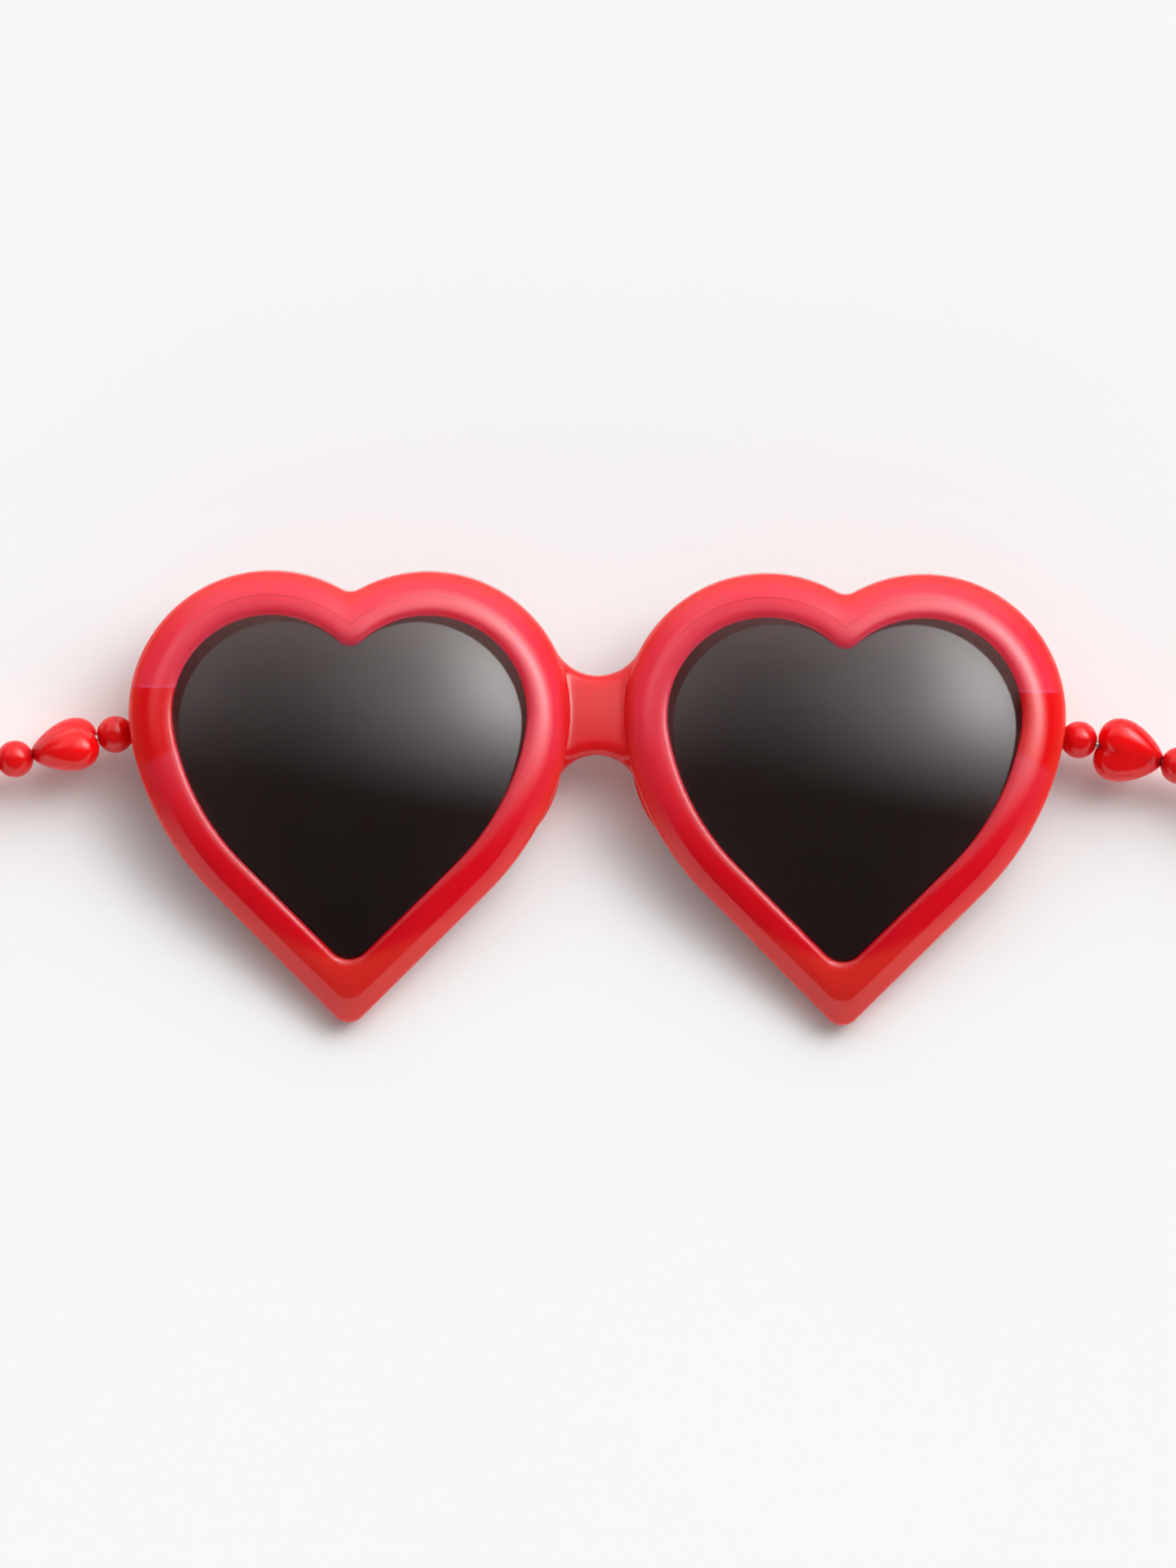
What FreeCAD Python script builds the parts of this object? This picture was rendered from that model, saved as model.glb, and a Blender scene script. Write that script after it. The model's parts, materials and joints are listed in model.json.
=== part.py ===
import FreeCAD, Part
import math
import os
import re

import Sketcher

# Driving dimensions, millimetres and degrees
SIZES = (
    ("heart_spacing", 79.4, "between the axes of the two hearts"),
    ("lobe_offset", 12.6, "lobe centre from the axis of its heart"),
    ("lobe_radius", 22.9, "outer radius of a lobe"),
    ("shoulder_angle", 10.0, "where the lobe hands over to the long side arc"),
    ("side_radius", 46.5, "outer radius of the long side arc"),
    ("side_angle", 44.8, "lower side from the axis of the heart"),
    ("tip_radius", 3.5, "outer rounding of the lower tip"),
    ("notch_radius", 2.2, "outer rounding of the upper notch"),
    ("rim_width", 7.05, "rim from the outer outline to the opening"),
    ("rim_depth", 5.5, "rim from front to back"),
    ("front_round", 3.2, "rounding of the outer front edge"),
    ("back_round", 0.8, "rounding of the outer back edge"),
    ("opening_round", 1.2, "rounding of the front edge of the opening"),
    ("opening_tip_radius", 4.0, "rounding of the lower tip of the opening"),
    ("opening_notch_radius", 1.8, "rounding of the upper notch of the opening"),
    ("bridge_top", 6.2, "upper edge of the bridge above the lobe centres, or above where the lobes meet"),
    ("bridge_bottom", 6.7, "lower edge of the bridge below the lobe centres, or below where the sides meet"),
    ("bridge_recess", 1.4, "face of the bridge below the face of the rims"),
    ("bridge_round", 2.2, "rounding of the front edges of the bridge"),
    ("bridge_lap", 3.2, "how far the bridge runs into each rim"),
    ("pad_level", 13.0, "nose pad centre below the lobe centres"),
    ("pad_inset", 1.8, "nose pad centre inside the outline"),
    ("pad_half_width", 2.3, "nose pad half width"),
    ("pad_half_length", 7.0, "nose pad half length"),
    ("pad_reach", 6.0, "nose pad depth from its root"),
    ("pad_root", 1.0, "root of the nose pad inside the rim"),
    ("lens_curve", 260.0, "radius of the front of the lens"),
    ("lens_thickness", 1.5, "thickness of the lens"),
    ("lens_recess", 0.8, "middle of the lens below the face of the rim"),
    ("lens_middle", 10.0, "middle of the lens below the lobe centres"),
    ("groove_depth", 1.0, "lens groove into the rim"),
    ("lens_clearance", 0.1, "play of the lens in its groove"),
    ("block_pocket", 0.9, "hinge block let into the back of the rim"),
    ("block_edge", 1.3, "outer side of the block inside the outline"),
    ("block_lens_margin", 1.4, "inner side of the block from the opening"),
    ("upper_ear", 4.75, "upper ear of the block"),
    ("lower_ear", 2.0, "lower ear of the block"),
    ("block_round", 0.8, "rounding of the upright edges of the block"),
    ("hinge_level", 4.0, "middle of the hinge below the lobe centres"),
    ("pin_radius", 0.6, "shank of the hinge screw"),
    ("pin_fit", 0.03, "shank in the ears"),
    ("running_fit", 0.06, "barrel on the shank"),
    ("head_radius", 1.15, "head of the hinge screw"),
    ("head_height", 0.8, "head of the hinge screw"),
    ("head_play", 0.1, "head in its counterbore"),
    ("slot_width", 0.3, "driver slot"),
    ("slot_depth", 0.4, "driver slot"),
    ("barrel_radius", 1.3, "hinge barrel"),
    ("barrel_rim_gap", 0.4, "barrel from the back of the rim"),
    ("barrel_end_gap", 0.1, "barrel from each ear"),
    ("rest_tilt", 10.3, "front against the table when it lies on tips and blocks"),
    ("wire_radius", 0.6, "core wire of the arm"),
    ("wire_seat", 0.5, "core wire into the wall of the barrel"),
    ("wire_fit", 0.02, "core wire in its seat and in the end cap"),
    ("wire_bend_start", 2.2, "start of the first bend from the hinge axis"),
    ("wire_bend_radius", 5.0, "first bend of the wire"),
    ("arm_slope", 14.0, "arm against the hinge axis's square"),
    ("bead_radius", 3.0, "round bead"),
    ("bead_bore", 0.8, "bore radius of a round bead"),
    ("bead_gap", 0.06, "between two round beads"),
    ("heart_gap", 0.15, "between a heart bead and a round bead"),
    ("bead_side_gap", 0.25, "first bead from each ear as it swings through"),
    ("first_bead_overhang", 2.7, "first bead centre outside the rim"),
    ("heart_lobe_offset", 2.55, "heart bead lobe centre from its axis"),
    ("heart_lobe_back", 2.9, "heart bead lobe centre behind its middle"),
    ("heart_lobe_radius", 2.7, "heart bead lobe"),
    ("heart_core_back", 0.9, "heart bead core centre behind its middle"),
    ("heart_core_radius", 2.5, "heart bead core"),
    ("heart_tip_ahead", 4.25, "heart bead tip centre ahead of its middle"),
    ("heart_tip_radius", 1.35, "heart bead tip"),
    ("heart_bore_fit", 0.1, "heart bead on the wire"),
    ("ear_radius", 32.0, "bend of the arm behind the ear"),
    ("ear_turn", 36.0, "turn of the arm behind the ear"),
    ("cap_radius", 2.1, "end cap"),
    ("cap_length", 12.0, "end cap"),
    ("cap_socket", 6.0, "wire into the end cap"),
)
HEARTS_PER_ARM = 4
EAR_BEADS = 6
# Turn of each heart bead on its wire as the photograph and chance leave them, from the hinge outwards
HEART_TURNS = {"right": (8, -35, 20, 60), "left": (62, 15, -40, 25)}
SIDES = {"right": 1, "left": -1}

doc = FreeCAD.newDocument("heart_sunglasses")
sheet = doc.addObject("Spreadsheet::Sheet", "sizes")
for row, (alias, number, meaning) in enumerate(SIZES, start=1):
    sheet.set(f"A{row}", meaning)
    sheet.set(f"B{row}", str(number))
    sheet.setAlias(f"B{row}", alias)
doc.recompute()

subparts = {}


def size(expression):
    """Value of an expression on the cells of the sheet, with bare cell names."""
    return float(sheet.evalExpression(expression))


def bound(expression):
    """The same expression as other objects of the document write it."""
    aliases = "|".join(alias for alias, _, _ in SIZES)
    return re.sub(rf"\b({aliases})\b", r"sizes.\1", expression)


def vector(x, y, z=0.0):
    return FreeCAD.Vector(x, y, z)


def turn(axis, angle):
    return FreeCAD.Rotation(axis, angle)


def place(x, y, z, rotation=FreeCAD.Rotation()):
    return FreeCAD.Placement(vector(x, y, z), rotation)


X_AXIS = vector(1, 0, 0)
Y_AXIS = vector(0, 1, 0)
Z_AXIS = vector(0, 0, 1)


def add(kind, name, **bindings):
    """A document object with its sizes bound to the sheet."""
    made = doc.addObject(kind, name)
    for prop, expression in bindings.items():
        made.setExpression(prop, bound(expression))
    return made


def cut(name, base, tools):
    tool = tools[0]
    if len(tools) > 1:
        tool = doc.addObject("Part::MultiFuse", name + "_tools")
        tool.Shapes = tools
    made = doc.addObject("Part::Cut", name)
    made.Base = base
    made.Tool = tool
    return made


def keep(label, made, local):
    """Register a sub-part with its place in the frame of the front."""
    made.Label = label
    subparts[label] = (made, local)


# Heart outline: lobes, long side arcs, straight lower sides, rounded notch and tip
SIDE_SHIFT_X = "(side_radius - lobe_radius) * cos(shoulder_angle * 1 deg)"
SIDE_SHIFT_Y = "(side_radius - lobe_radius) * sin(shoulder_angle * 1 deg)"


def tip_centre(inset, tip_radius):
    side = f"(side_radius - ( {inset} ) )"
    return (
        f"{side} * sin(side_angle * 1 deg) - {SIDE_SHIFT_Y} - ( {tip_radius} ) / sin(side_angle * 1 deg)"
        f" + (lobe_offset - {SIDE_SHIFT_X} + {side} * cos(side_angle * 1 deg) ) / tan(side_angle * 1 deg)"
    )


def half_width(level, inset):
    """Half width of a heart at a level above the lobe centres, inside the outline by inset."""
    shift_y = size(SIDE_SHIFT_Y)
    lobe = size("lobe_radius") - inset
    if level > -lobe * math.sin(math.radians(size("shoulder_angle"))):
        return size("lobe_offset") + math.sqrt(lobe**2 - level**2)
    side = size("side_radius") - inset
    return size("lobe_offset") - size(SIDE_SHIFT_X) + math.sqrt(side**2 - (level - shift_y) ** 2)


def polar(x, y, radius, angle):
    """Point on a circle at an angle in degrees."""
    return x + radius * math.cos(math.radians(angle)), y + radius * math.sin(math.radians(angle))


def arc(x, y, radius, start, end):
    circle = Part.Circle(vector(x, y), Z_AXIS, radius)
    return Part.ArcOfCircle(circle, math.radians(start), math.radians(end))


def line(start, end):
    return Part.LineSegment(vector(*start), vector(*end))


def heart_loop(sketch, name, inset, tip_radius, notch_radius):
    """One closed heart in a sketch, inside the outer outline by inset, with its sizes bound to the sheet."""
    lobe = size(f"lobe_radius - ( {inset} )")
    side = size(f"side_radius - ( {inset} )")
    tip = size(tip_radius)
    notch = size(notch_radius)
    offset = size("lobe_offset")
    shoulder = size("shoulder_angle")
    slope = size("side_angle")
    side_x = offset - size(SIDE_SHIFT_X)
    side_y = size(SIDE_SHIFT_Y)
    tip_y = -size(tip_centre(inset, tip_radius))
    notch_y = math.sqrt((lobe + notch) ** 2 - offset**2)
    meet = math.degrees(math.atan2(notch_y, offset))
    side_end = polar(side_x, side_y, side, -slope)
    tip_start = polar(0, tip_y, tip, -slope)
    first = sketch.GeometryCount
    sketch.addGeometry(
        [
            arc(0, notch_y, notch, 180 + meet, 360 - meet),
            arc(offset, 0, lobe, -shoulder, 180 - meet),
            arc(side_x, side_y, side, -slope, -shoulder),
            line(side_end, tip_start),
            arc(0, tip_y, tip, 180 + slope, 360 - slope),
            line((-side_end[0], side_end[1]), (-tip_start[0], tip_start[1])),
            arc(-side_x, side_y, side, 180 + shoulder, 180 + slope),
            arc(-offset, 0, lobe, meet, 180 + shoulder),
        ],
        False,
    )
    right_meetings = ((0, 2, 1, 2), (1, 1, 2, 2), (2, 1, 3, 1), (3, 2, 4, 2))
    left_meetings = ((4, 1, 5, 2), (5, 1, 6, 2), (6, 1, 7, 2), (7, 1, 0, 1))
    for a, a_end, b, b_end in right_meetings + left_meetings:
        sketch.addConstraint(Sketcher.Constraint("Tangent", first + a, a_end, first + b, b_end))
    sketch.addConstraint(Sketcher.Constraint("PointOnObject", first + 1, 3, -1))
    sketch.addConstraint(Sketcher.Constraint("Symmetric", first + 1, 3, first + 7, 3, -2))
    sketch.addConstraint(Sketcher.Constraint("Equal", first + 1, first + 7))
    sketch.addConstraint(Sketcher.Constraint("Equal", first + 2, first + 6))
    sketch.addConstraint(Sketcher.Constraint("Horizontal", first + 2, 3, first + 6, 3))
    sketch.addConstraint(Sketcher.Constraint("PointOnObject", first + 4, 3, -2))
    dimension(sketch, name + "_lobe", f"lobe_radius - ( {inset} )", "Radius", first + 1)
    dimension(sketch, name + "_side", f"side_radius - ( {inset} )", "Radius", first + 2)
    dimension(sketch, name + "_notch", notch_radius, "Radius", first)
    dimension(sketch, name + "_tip", tip_radius, "Radius", first + 4)
    dimension(sketch, name + "_offset", "lobe_offset", "DistanceX", -1, 1, first + 1, 3)
    dimension(sketch, name + "_side_centre", SIDE_SHIFT_Y, "DistanceY", -1, 1, first + 2, 3)
    dimension(sketch, name + "_tip_centre", tip_centre(inset, tip_radius), "DistanceY", first + 4, 3, -1, 1)


def dimension(sketch, name, expression, kind, *places):
    """A named sketch dimension bound to the sheet."""
    number = sketch.addConstraint(Sketcher.Constraint(kind, *places, size(expression)))
    sketch.renameConstraint(number, name)
    sketch.setExpression("Constraints." + name, bound(expression))


def heart_sketch(name, side, level, loops):
    """A sketch square to the front on one heart, at a level behind its face, with the named loops."""
    sketch = doc.addObject("Sketcher::SketchObject", name)
    sketch.setExpression(".Placement.Base.x", bound(f"{SIDES[side]} * heart_spacing / 2"))
    sketch.setExpression(".Placement.Base.z", bound(level))
    for loop in loops:
        heart_loop(sketch, *loop)
    return sketch


def extrusion(name, sketch, length, direction=Z_AXIS):
    made = add("Part::Extrusion", name, LengthFwd=length)
    made.Base = sketch
    made.DirMode = "Custom"
    made.Dir = direction
    made.Solid = True
    return made


def numbers_of(shape, edges):
    return [i for i, edge in enumerate(shape.Edges, start=1) if any(edge.isSame(other) for other in edges)]


def flat_face(shape, level):
    def off_level(face):
        return max(abs(face.BoundBox.ZMax - level), abs(face.BoundBox.ZMin - level))

    return min(shape.Faces, key=off_level)


def rounded(name, base, rounds):
    """A Part fillet; rounds pairs lists of edges with a radius."""
    made = doc.addObject("Part::Fillet", name)
    made.Base = base
    made.Edges = [(i, radius, radius) for edges, radius in rounds for i in numbers_of(base.Shape, edges)]
    return made


# Most of a corner's own radius that the fillet along it may take
FILLET_SHARE = 0.95
OPENING = ("opening", "rim_width", "opening_tip_radius", "opening_notch_radius")
GROOVE = ("groove", "rim_width - groove_depth", "opening_tip_radius", "opening_notch_radius")
LENS = ("lens", "rim_width - groove_depth + lens_clearance", "opening_tip_radius", "opening_notch_radius")


def rim(side):
    """Heart rim with rounded edges, before the bridge and the groove."""
    outline = ("outline", "0", "tip_radius", "notch_radius")
    sketch = heart_sketch(side + "_rim_sketch", side, "-rim_depth", (outline, OPENING))
    ring = extrusion(side + "_rim_ring", sketch, "rim_depth")
    doc.recompute()
    front = flat_face(ring.Shape, 0)
    back = flat_face(ring.Shape, -size("rim_depth"))
    inner_front = [edge for wire in front.Wires if not wire.isSame(front.OuterWire) for edge in wire.Edges]
    front_round = min(size("front_round"), FILLET_SHARE * size("tip_radius"))
    opening_round = min(size("opening_round"), FILLET_SHARE * size("opening_notch_radius"))
    rounds = (
        (front.OuterWire.Edges, front_round),
        (inner_front, opening_round),
        (back.OuterWire.Edges, size("back_round")),
    )
    return rounded(side + "_rim", ring, rounds)


def lens_slice(name, side, loop, play):
    """Prism of a heart loop between two spheres, the curved sheet of the lens or of its groove."""
    sketch = heart_sketch(name + "_sketch", side, "-rim_depth", (loop,))
    prism = extrusion(name + "_prism", sketch, "rim_depth")
    middle_x = SIDES[side] * size("heart_spacing / 2")
    centre = place(middle_x, -size("lens_middle"), -size("lens_recess + lens_curve"))
    front = add("Part::Sphere", name + "_front", Radius=f"lens_curve + {play}")
    back = add("Part::Sphere", name + "_back", Radius=f"lens_curve - lens_thickness - {play}")
    front.Placement = centre
    back.Placement = centre
    shell = doc.addObject("Part::Common", name + "_shell")
    shell.Base = prism
    shell.Tool = front
    return cut(name, shell, [back])


def tangent_arc_radius(level, centre_x, centre_y, radius):
    """Radius of a circle on the axis that touches both rims and the given level of the bridge."""
    rise = level + centre_y
    return (centre_x**2 + rise**2 - radius**2) / (2 * (radius - rise))


def meeting_height(centre_x, radius):
    """Height from their centres to where mirrored arcs of the two hearts meet, 0 if they stand apart."""
    return math.sqrt(max(radius**2 - centre_x**2, 0.0))


def bridge():
    """Recessed bridge: a plate between two arcs that run tangent into both rims."""
    half = size("heart_spacing / 2")
    lobe_x = half - size("lobe_offset")
    side_x = half - size("lobe_offset") + size(SIDE_SHIFT_X)
    side_y = size(SIDE_SHIFT_Y)
    top = size("bridge_top") + meeting_height(lobe_x, size("lobe_radius"))
    bottom = size("bridge_bottom") + max(meeting_height(side_x, size("side_radius")) - side_y, 0.0)
    top_arc = tangent_arc_radius(top, lobe_x, 0.0, size("lobe_radius"))
    low_arc = tangent_arc_radius(bottom, side_x, side_y, size("side_radius"))
    top_y = top + top_arc
    low_y = -bottom - low_arc
    top_angle = math.degrees(math.atan2(top_y, lobe_x))
    low_angle = math.degrees(math.atan2(side_y - low_y, side_x))
    top_end = polar(0, top_y, top_arc, -top_angle)
    low_end = polar(0, low_y, low_arc, low_angle)
    lap = half - half_width(0.0, size("bridge_lap"))
    sketch = doc.addObject("Sketcher::SketchObject", "bridge_sketch")
    sketch.setExpression(".Placement.Base.z", bound("-rim_depth"))
    sketch.addGeometry(
        [
            arc(0, top_y, top_arc, 180 + top_angle, 360 - top_angle),
            line(top_end, (lap, top)),
            line((lap, top), (lap, -bottom)),
            line((lap, -bottom), low_end),
            arc(0, low_y, low_arc, low_angle, 180 - low_angle),
            line((-low_end[0], low_end[1]), (-lap, -bottom)),
            line((-lap, -bottom), (-lap, top)),
            line((-lap, top), (-top_end[0], top_end[1])),
        ],
        False,
    )
    for i in range(sketch.GeometryCount):
        sketch.addConstraint(Sketcher.Constraint("Block", i))
    plate = extrusion("bridge_plate", sketch, "rim_depth - bridge_recess")
    doc.recompute()
    face = flat_face(plate.Shape, -size("bridge_recess"))
    curved = [edge for edge in face.Edges if isinstance(edge.Curve, Part.Circle)]
    return rounded("bridge", plate, ((curved, size("bridge_round")),))


def nose_pad(side):
    """Moulded pad behind the rim, half an ellipsoid laid along the inner side of the heart."""
    level = -size("pad_level")
    inward = half_width(level, size("pad_inset"))
    lean = math.degrees(math.asin((size(SIDE_SHIFT_Y) - level) / size("side_radius")))
    pad = add("Part::Ellipsoid", side + "_nose_pad", Radius1="pad_reach", Radius2="pad_half_width")
    pad.setExpression("Radius3", bound("pad_half_length"))
    pad.Angle2 = 0
    x = SIDES[side] * (size("heart_spacing / 2") - inward)
    pad.Placement = place(x, level, -size("rim_depth - pad_root"), turn(Z_AXIS, SIDES[side] * lean))
    return pad


# Hinge block: plan on the back of the rim, two ears and the gap that the first bead swings through
HINGE_GAP = "2 * bead_radius + 2 * bead_side_gap"
GAP_TOP = size(f"-hinge_level + ( {HINGE_GAP} ) / 2")
GAP_BOTTOM = size(f"-hinge_level - ( {HINGE_GAP} ) / 2")
BLOCK_TOP = GAP_TOP + size("upper_ear")
BLOCK_BOTTOM = GAP_BOTTOM - size("lower_ear")
BLOCK_OUTER = size("block_edge")
BLOCK_INNER = size("rim_width - block_lens_margin")
BLOCK_CORNERS = [
    (size("heart_spacing / 2") + half_width(level, inset), level)
    for level, inset in (
        (BLOCK_TOP, BLOCK_OUTER),
        (BLOCK_TOP, BLOCK_INNER),
        (BLOCK_BOTTOM, BLOCK_INNER),
        (BLOCK_BOTTOM, BLOCK_OUTER),
    )
]
PIN_X = sum(x for x, _ in BLOCK_CORNERS) / len(BLOCK_CORNERS)
PIN_Z = -size("rim_depth + barrel_radius + barrel_rim_gap")

# Table that the front lies on, under the rounded back of the heart tips
TILT = size("rest_tilt")
SIN_TILT = math.sin(math.radians(TILT))
COS_TILT = math.cos(math.radians(TILT))
TIP_LEVEL = -size(tip_centre("0", "tip_radius")) - size("tip_radius")
TABLE = (
    (TIP_LEVEL + size("back_round")) * SIN_TILT
    + (size("back_round - rim_depth")) * COS_TILT
    - size("back_round")
)


def block_plan(name, side):
    """Four-sided plan of the hinge block, with its root let into the rim."""
    corners = [(SIDES[side] * x, level) for x, level in BLOCK_CORNERS]
    sketch = doc.addObject("Sketcher::SketchObject", name + "_plan")
    sketch.addGeometry([line(corners[i - 1], corners[i]) for i in range(len(corners))], False)
    for i in range(sketch.GeometryCount):
        sketch.addConstraint(Sketcher.Constraint("Block", i))
    return sketch


def block_root(name, side, length):
    """Plan of the block from the floor of its pocket down, with its upright edges rounded."""
    sketch = block_plan(name, side)
    sketch.setExpression(".Placement.Base.z", bound("block_pocket - rim_depth"))
    stock = extrusion(name + "_stock", sketch, length, -Z_AXIS)
    doc.recompute()
    upright = [edge for edge in stock.Shape.Edges if edge.BoundBox.ZLength > edge.BoundBox.DiagonalLength / 2]
    return rounded(name, stock, ((upright, size("block_round")),))


def hinge_block(side):
    """Two ears on a root in the rim, their feet cut flat on the table, bored for the screw."""
    x = SIDES[side] * PIN_X
    width = size("rim_width")
    reach = size("heart_spacing / 2")
    overrun = size("head_height")
    foot = (BLOCK_TOP * SIN_TILT - TABLE) / COS_TILT
    stock = block_root(side + "_block", side, f"{foot} + 2 * block_pocket - rim_depth")
    gap = add("Part::Box", side + "_block_gap", Length="2 * rim_width", Width=HINGE_GAP)
    gap.Height = foot
    gap.Placement = place(x - width, GAP_BOTTOM, -foot - size("rim_depth"))
    table = add("Part::Box", side + "_block_table", Length="2 * rim_width", Width="heart_spacing")
    table.setExpression("Height", bound("rim_width"))
    tilted = place(x, 0, 0, turn(X_AXIS, -TILT))
    table.Placement = tilted * place(-width, -reach, TABLE - width)
    upright = turn(X_AXIS, -90)
    hole = add("Part::Cylinder", side + "_block_hole", Radius="pin_radius + pin_fit")
    hole.Height = BLOCK_TOP - BLOCK_BOTTOM + 2 * overrun
    hole.Placement = place(x, BLOCK_BOTTOM - overrun, PIN_Z, upright)
    sink = add("Part::Cylinder", side + "_block_sink", Radius="head_radius + head_play")
    sink.setExpression("Height", bound("2 * head_height"))
    sink.Placement = place(x, BLOCK_TOP - size("head_height + head_play"), PIN_Z, upright)
    return cut(side + "_hinge_block", stock, [gap, table, hole, sink])


def front_frame():
    body = doc.addObject("Part::MultiFuse", "front_body")
    body.Shapes = [rim("right"), rim("left"), bridge(), nose_pad("right"), nose_pad("left")]
    tools = []
    for side in SIDES:
        tools.append(lens_slice(side + "_groove", side, GROOVE, "lens_clearance"))
        tools.append(block_root(side + "_block_pocket", side, "block_pocket + back_round"))
    return cut("front_frame", body, tools)


def hinge_screw(side):
    """Slotted screw along its own Z axis, head up, its shank ending flush with the lower ear."""
    shank = add("Part::Cylinder", side + "_screw_shank", Radius="pin_radius")
    shank.Height = BLOCK_TOP - BLOCK_BOTTOM - size("head_height")
    head = add("Part::Cylinder", side + "_screw_head", Radius="head_radius", Height="head_height")
    head.Placement = place(0, 0, shank.Height.Value)
    blank = doc.addObject("Part::Fuse", side + "_screw_blank")
    blank.Base = shank
    blank.Tool = head
    slot = add("Part::Box", side + "_screw_slot", Length="3 * head_radius", Width="slot_width")
    slot.setExpression("Height", bound("2 * slot_depth"))
    slot_floor = shank.Height.Value + size("head_height - slot_depth")
    slot.Placement = place(-1.5 * size("head_radius"), -size("slot_width / 2"), slot_floor)
    return cut(side + "_hinge_screw", blank, [slot])


# Arm: its own frame has the hinge axis along Y, the wire leaving along +X and the slope in the XY plane
SLOPE = math.radians(size("arm_slope"))
HEART_NOTCH = size("heart_lobe_back") + math.sqrt(
    size("(bead_radius + heart_lobe_radius + heart_gap) ^ 2 - heart_lobe_offset ^ 2")
)
HEART_BORE = size("wire_radius + heart_bore_fit")
HEART_TIP = size("heart_tip_ahead") + math.sqrt(size("heart_tip_radius") ** 2 - HEART_BORE**2)
HEART_NEXT = HEART_TIP + size("heart_gap") + math.sqrt(size("bead_radius ^ 2 - bead_bore ^ 2"))
BEAD_STEP = size("2 * bead_radius + bead_gap")


def wire_path():
    """Runs of the wire: (start point, heading in degrees, length, bend radius or None)."""
    bend = size("wire_bend_radius")
    slope = math.degrees(SLOPE)
    start = size("barrel_radius - wire_seat")
    first = size("wire_bend_start") - start
    rim_edge = size("heart_spacing / 2") + half_width(-size("hinge_level"), 0.0)
    reach = rim_edge - PIN_X + size("first_bead_overhang")
    bend_end = size("wire_bend_start") + bend * math.sin(SLOPE)
    first_bead = (reach - bend_end) / math.cos(SLOPE)
    straight = first_bead + HEARTS_PER_ARM * (HEART_NOTCH + HEART_NEXT) + (HEARTS_PER_ARM - 1) * BEAD_STEP
    straight += BEAD_STEP / 2
    ear_arc = size("ear_radius") * math.radians(size("ear_turn"))
    ear = EAR_BEADS * BEAD_STEP + size("cap_socket") - ear_arc
    runs = (
        (first, 0.0, None),
        (bend * SLOPE, 0.0, bend),
        (straight, -slope, None),
        (ear_arc, -slope, size("ear_radius")),
        (ear, -slope - size("ear_turn"), None),
    )
    return start, first_bead, runs


WIRE_START, FIRST_BEAD, RUNS = wire_path()


def along(distance):
    """Point and heading of the wire at a distance from its start."""
    x, y = WIRE_START, 0.0
    for length, heading, radius in RUNS:
        last = (length, heading, radius) == RUNS[-1]
        step = distance if last else min(distance, length)
        start = math.radians(heading)
        if radius is None:
            x += step * math.cos(start)
            y += step * math.sin(start)
            end = start
        else:
            end = start - step / radius
            x += radius * (math.sin(start) - math.sin(end))
            y += radius * (math.cos(end) - math.cos(start))
        distance -= step
        if distance <= 0:
            break
    return x, y, math.degrees(end)


STRAIGHT_START = RUNS[0][0] + RUNS[1][0]
WIRE_LENGTH = sum(run[0] for run in RUNS)
WIRE_LEVEL = -size("hinge_level") - along(STRAIGHT_START + FIRST_BEAD)[1]

# The arm is raised from the plane of the front until its cap end touches the table
CAP_END = along(WIRE_LENGTH - size("cap_socket") + size("cap_length - cap_radius"))
RAISE = math.degrees(
    math.asin(
        (TABLE + size("cap_radius") - (WIRE_LEVEL + CAP_END[1]) * SIN_TILT - PIN_Z * COS_TILT)
        / (CAP_END[0] * COS_TILT)
    )
)


def arm_place(side):
    """Frame of an arm in the frame of the front."""
    raised = turn(Y_AXIS, -RAISE) if side == "right" else turn(Y_AXIS, 180 + RAISE)
    return place(SIDES[side] * PIN_X, WIRE_LEVEL, PIN_Z, raised)


def wire_place(side, distance, spin=0.0):
    """Place on the wire of an arm, X along the wire, turned about it by spin."""
    x, y, heading = along(distance)
    return arm_place(side) * place(x, y, 0, turn(Z_AXIS, heading)) * place(0, 0, 0, turn(X_AXIS, spin))


def body_with_sketch(name, plane="XY_Plane"):
    body = doc.addObject("PartDesign::Body", name)
    return body, sketch_in(body, name + "_sketch", plane)


def sketch_in(body, name, plane="XY_Plane"):
    sketch = body.newObject("Sketcher::SketchObject", name)
    origin = [feature for feature in body.Origin.OriginFeatures if feature.Role == plane][0]
    sketch.AttachmentSupport = [(origin, "")]
    sketch.MapMode = "FlatFace"
    return sketch


def coincident(sketch, *pairs):
    for pair in pairs:
        sketch.addConstraint(Sketcher.Constraint("Coincident", *pair))


def revolved(body, kind, name, sketch, axis):
    feature = body.newObject(kind, name)
    feature.Profile = sketch
    feature.ReferenceAxis = (sketch, [axis])
    feature.Angle = 360
    body.Tip = feature
    return feature


def hinge_barrel(side):
    """Tube on the screw along its own Z axis, with the seat of the wire in its wall."""
    length = f"{HINGE_GAP} - 2 * barrel_end_gap"
    tube = add("Part::Cylinder", side + "_barrel_tube", Radius="barrel_radius", Height=length)
    bore = add("Part::Cylinder", side + "_barrel_bore", Radius="pin_radius + running_fit", Height=length)
    seat = add("Part::Cylinder", side + "_barrel_seat", Radius="wire_radius + wire_fit")
    seat.setExpression("Height", bound("2 * barrel_radius"))
    wire_height = WIRE_LEVEL + size("hinge_level") + size(length) / 2
    seat.Placement = place(WIRE_START, 0, wire_height, turn(Y_AXIS, 90))
    return cut(side + "_hinge_barrel", tube, [bore, seat])


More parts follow.
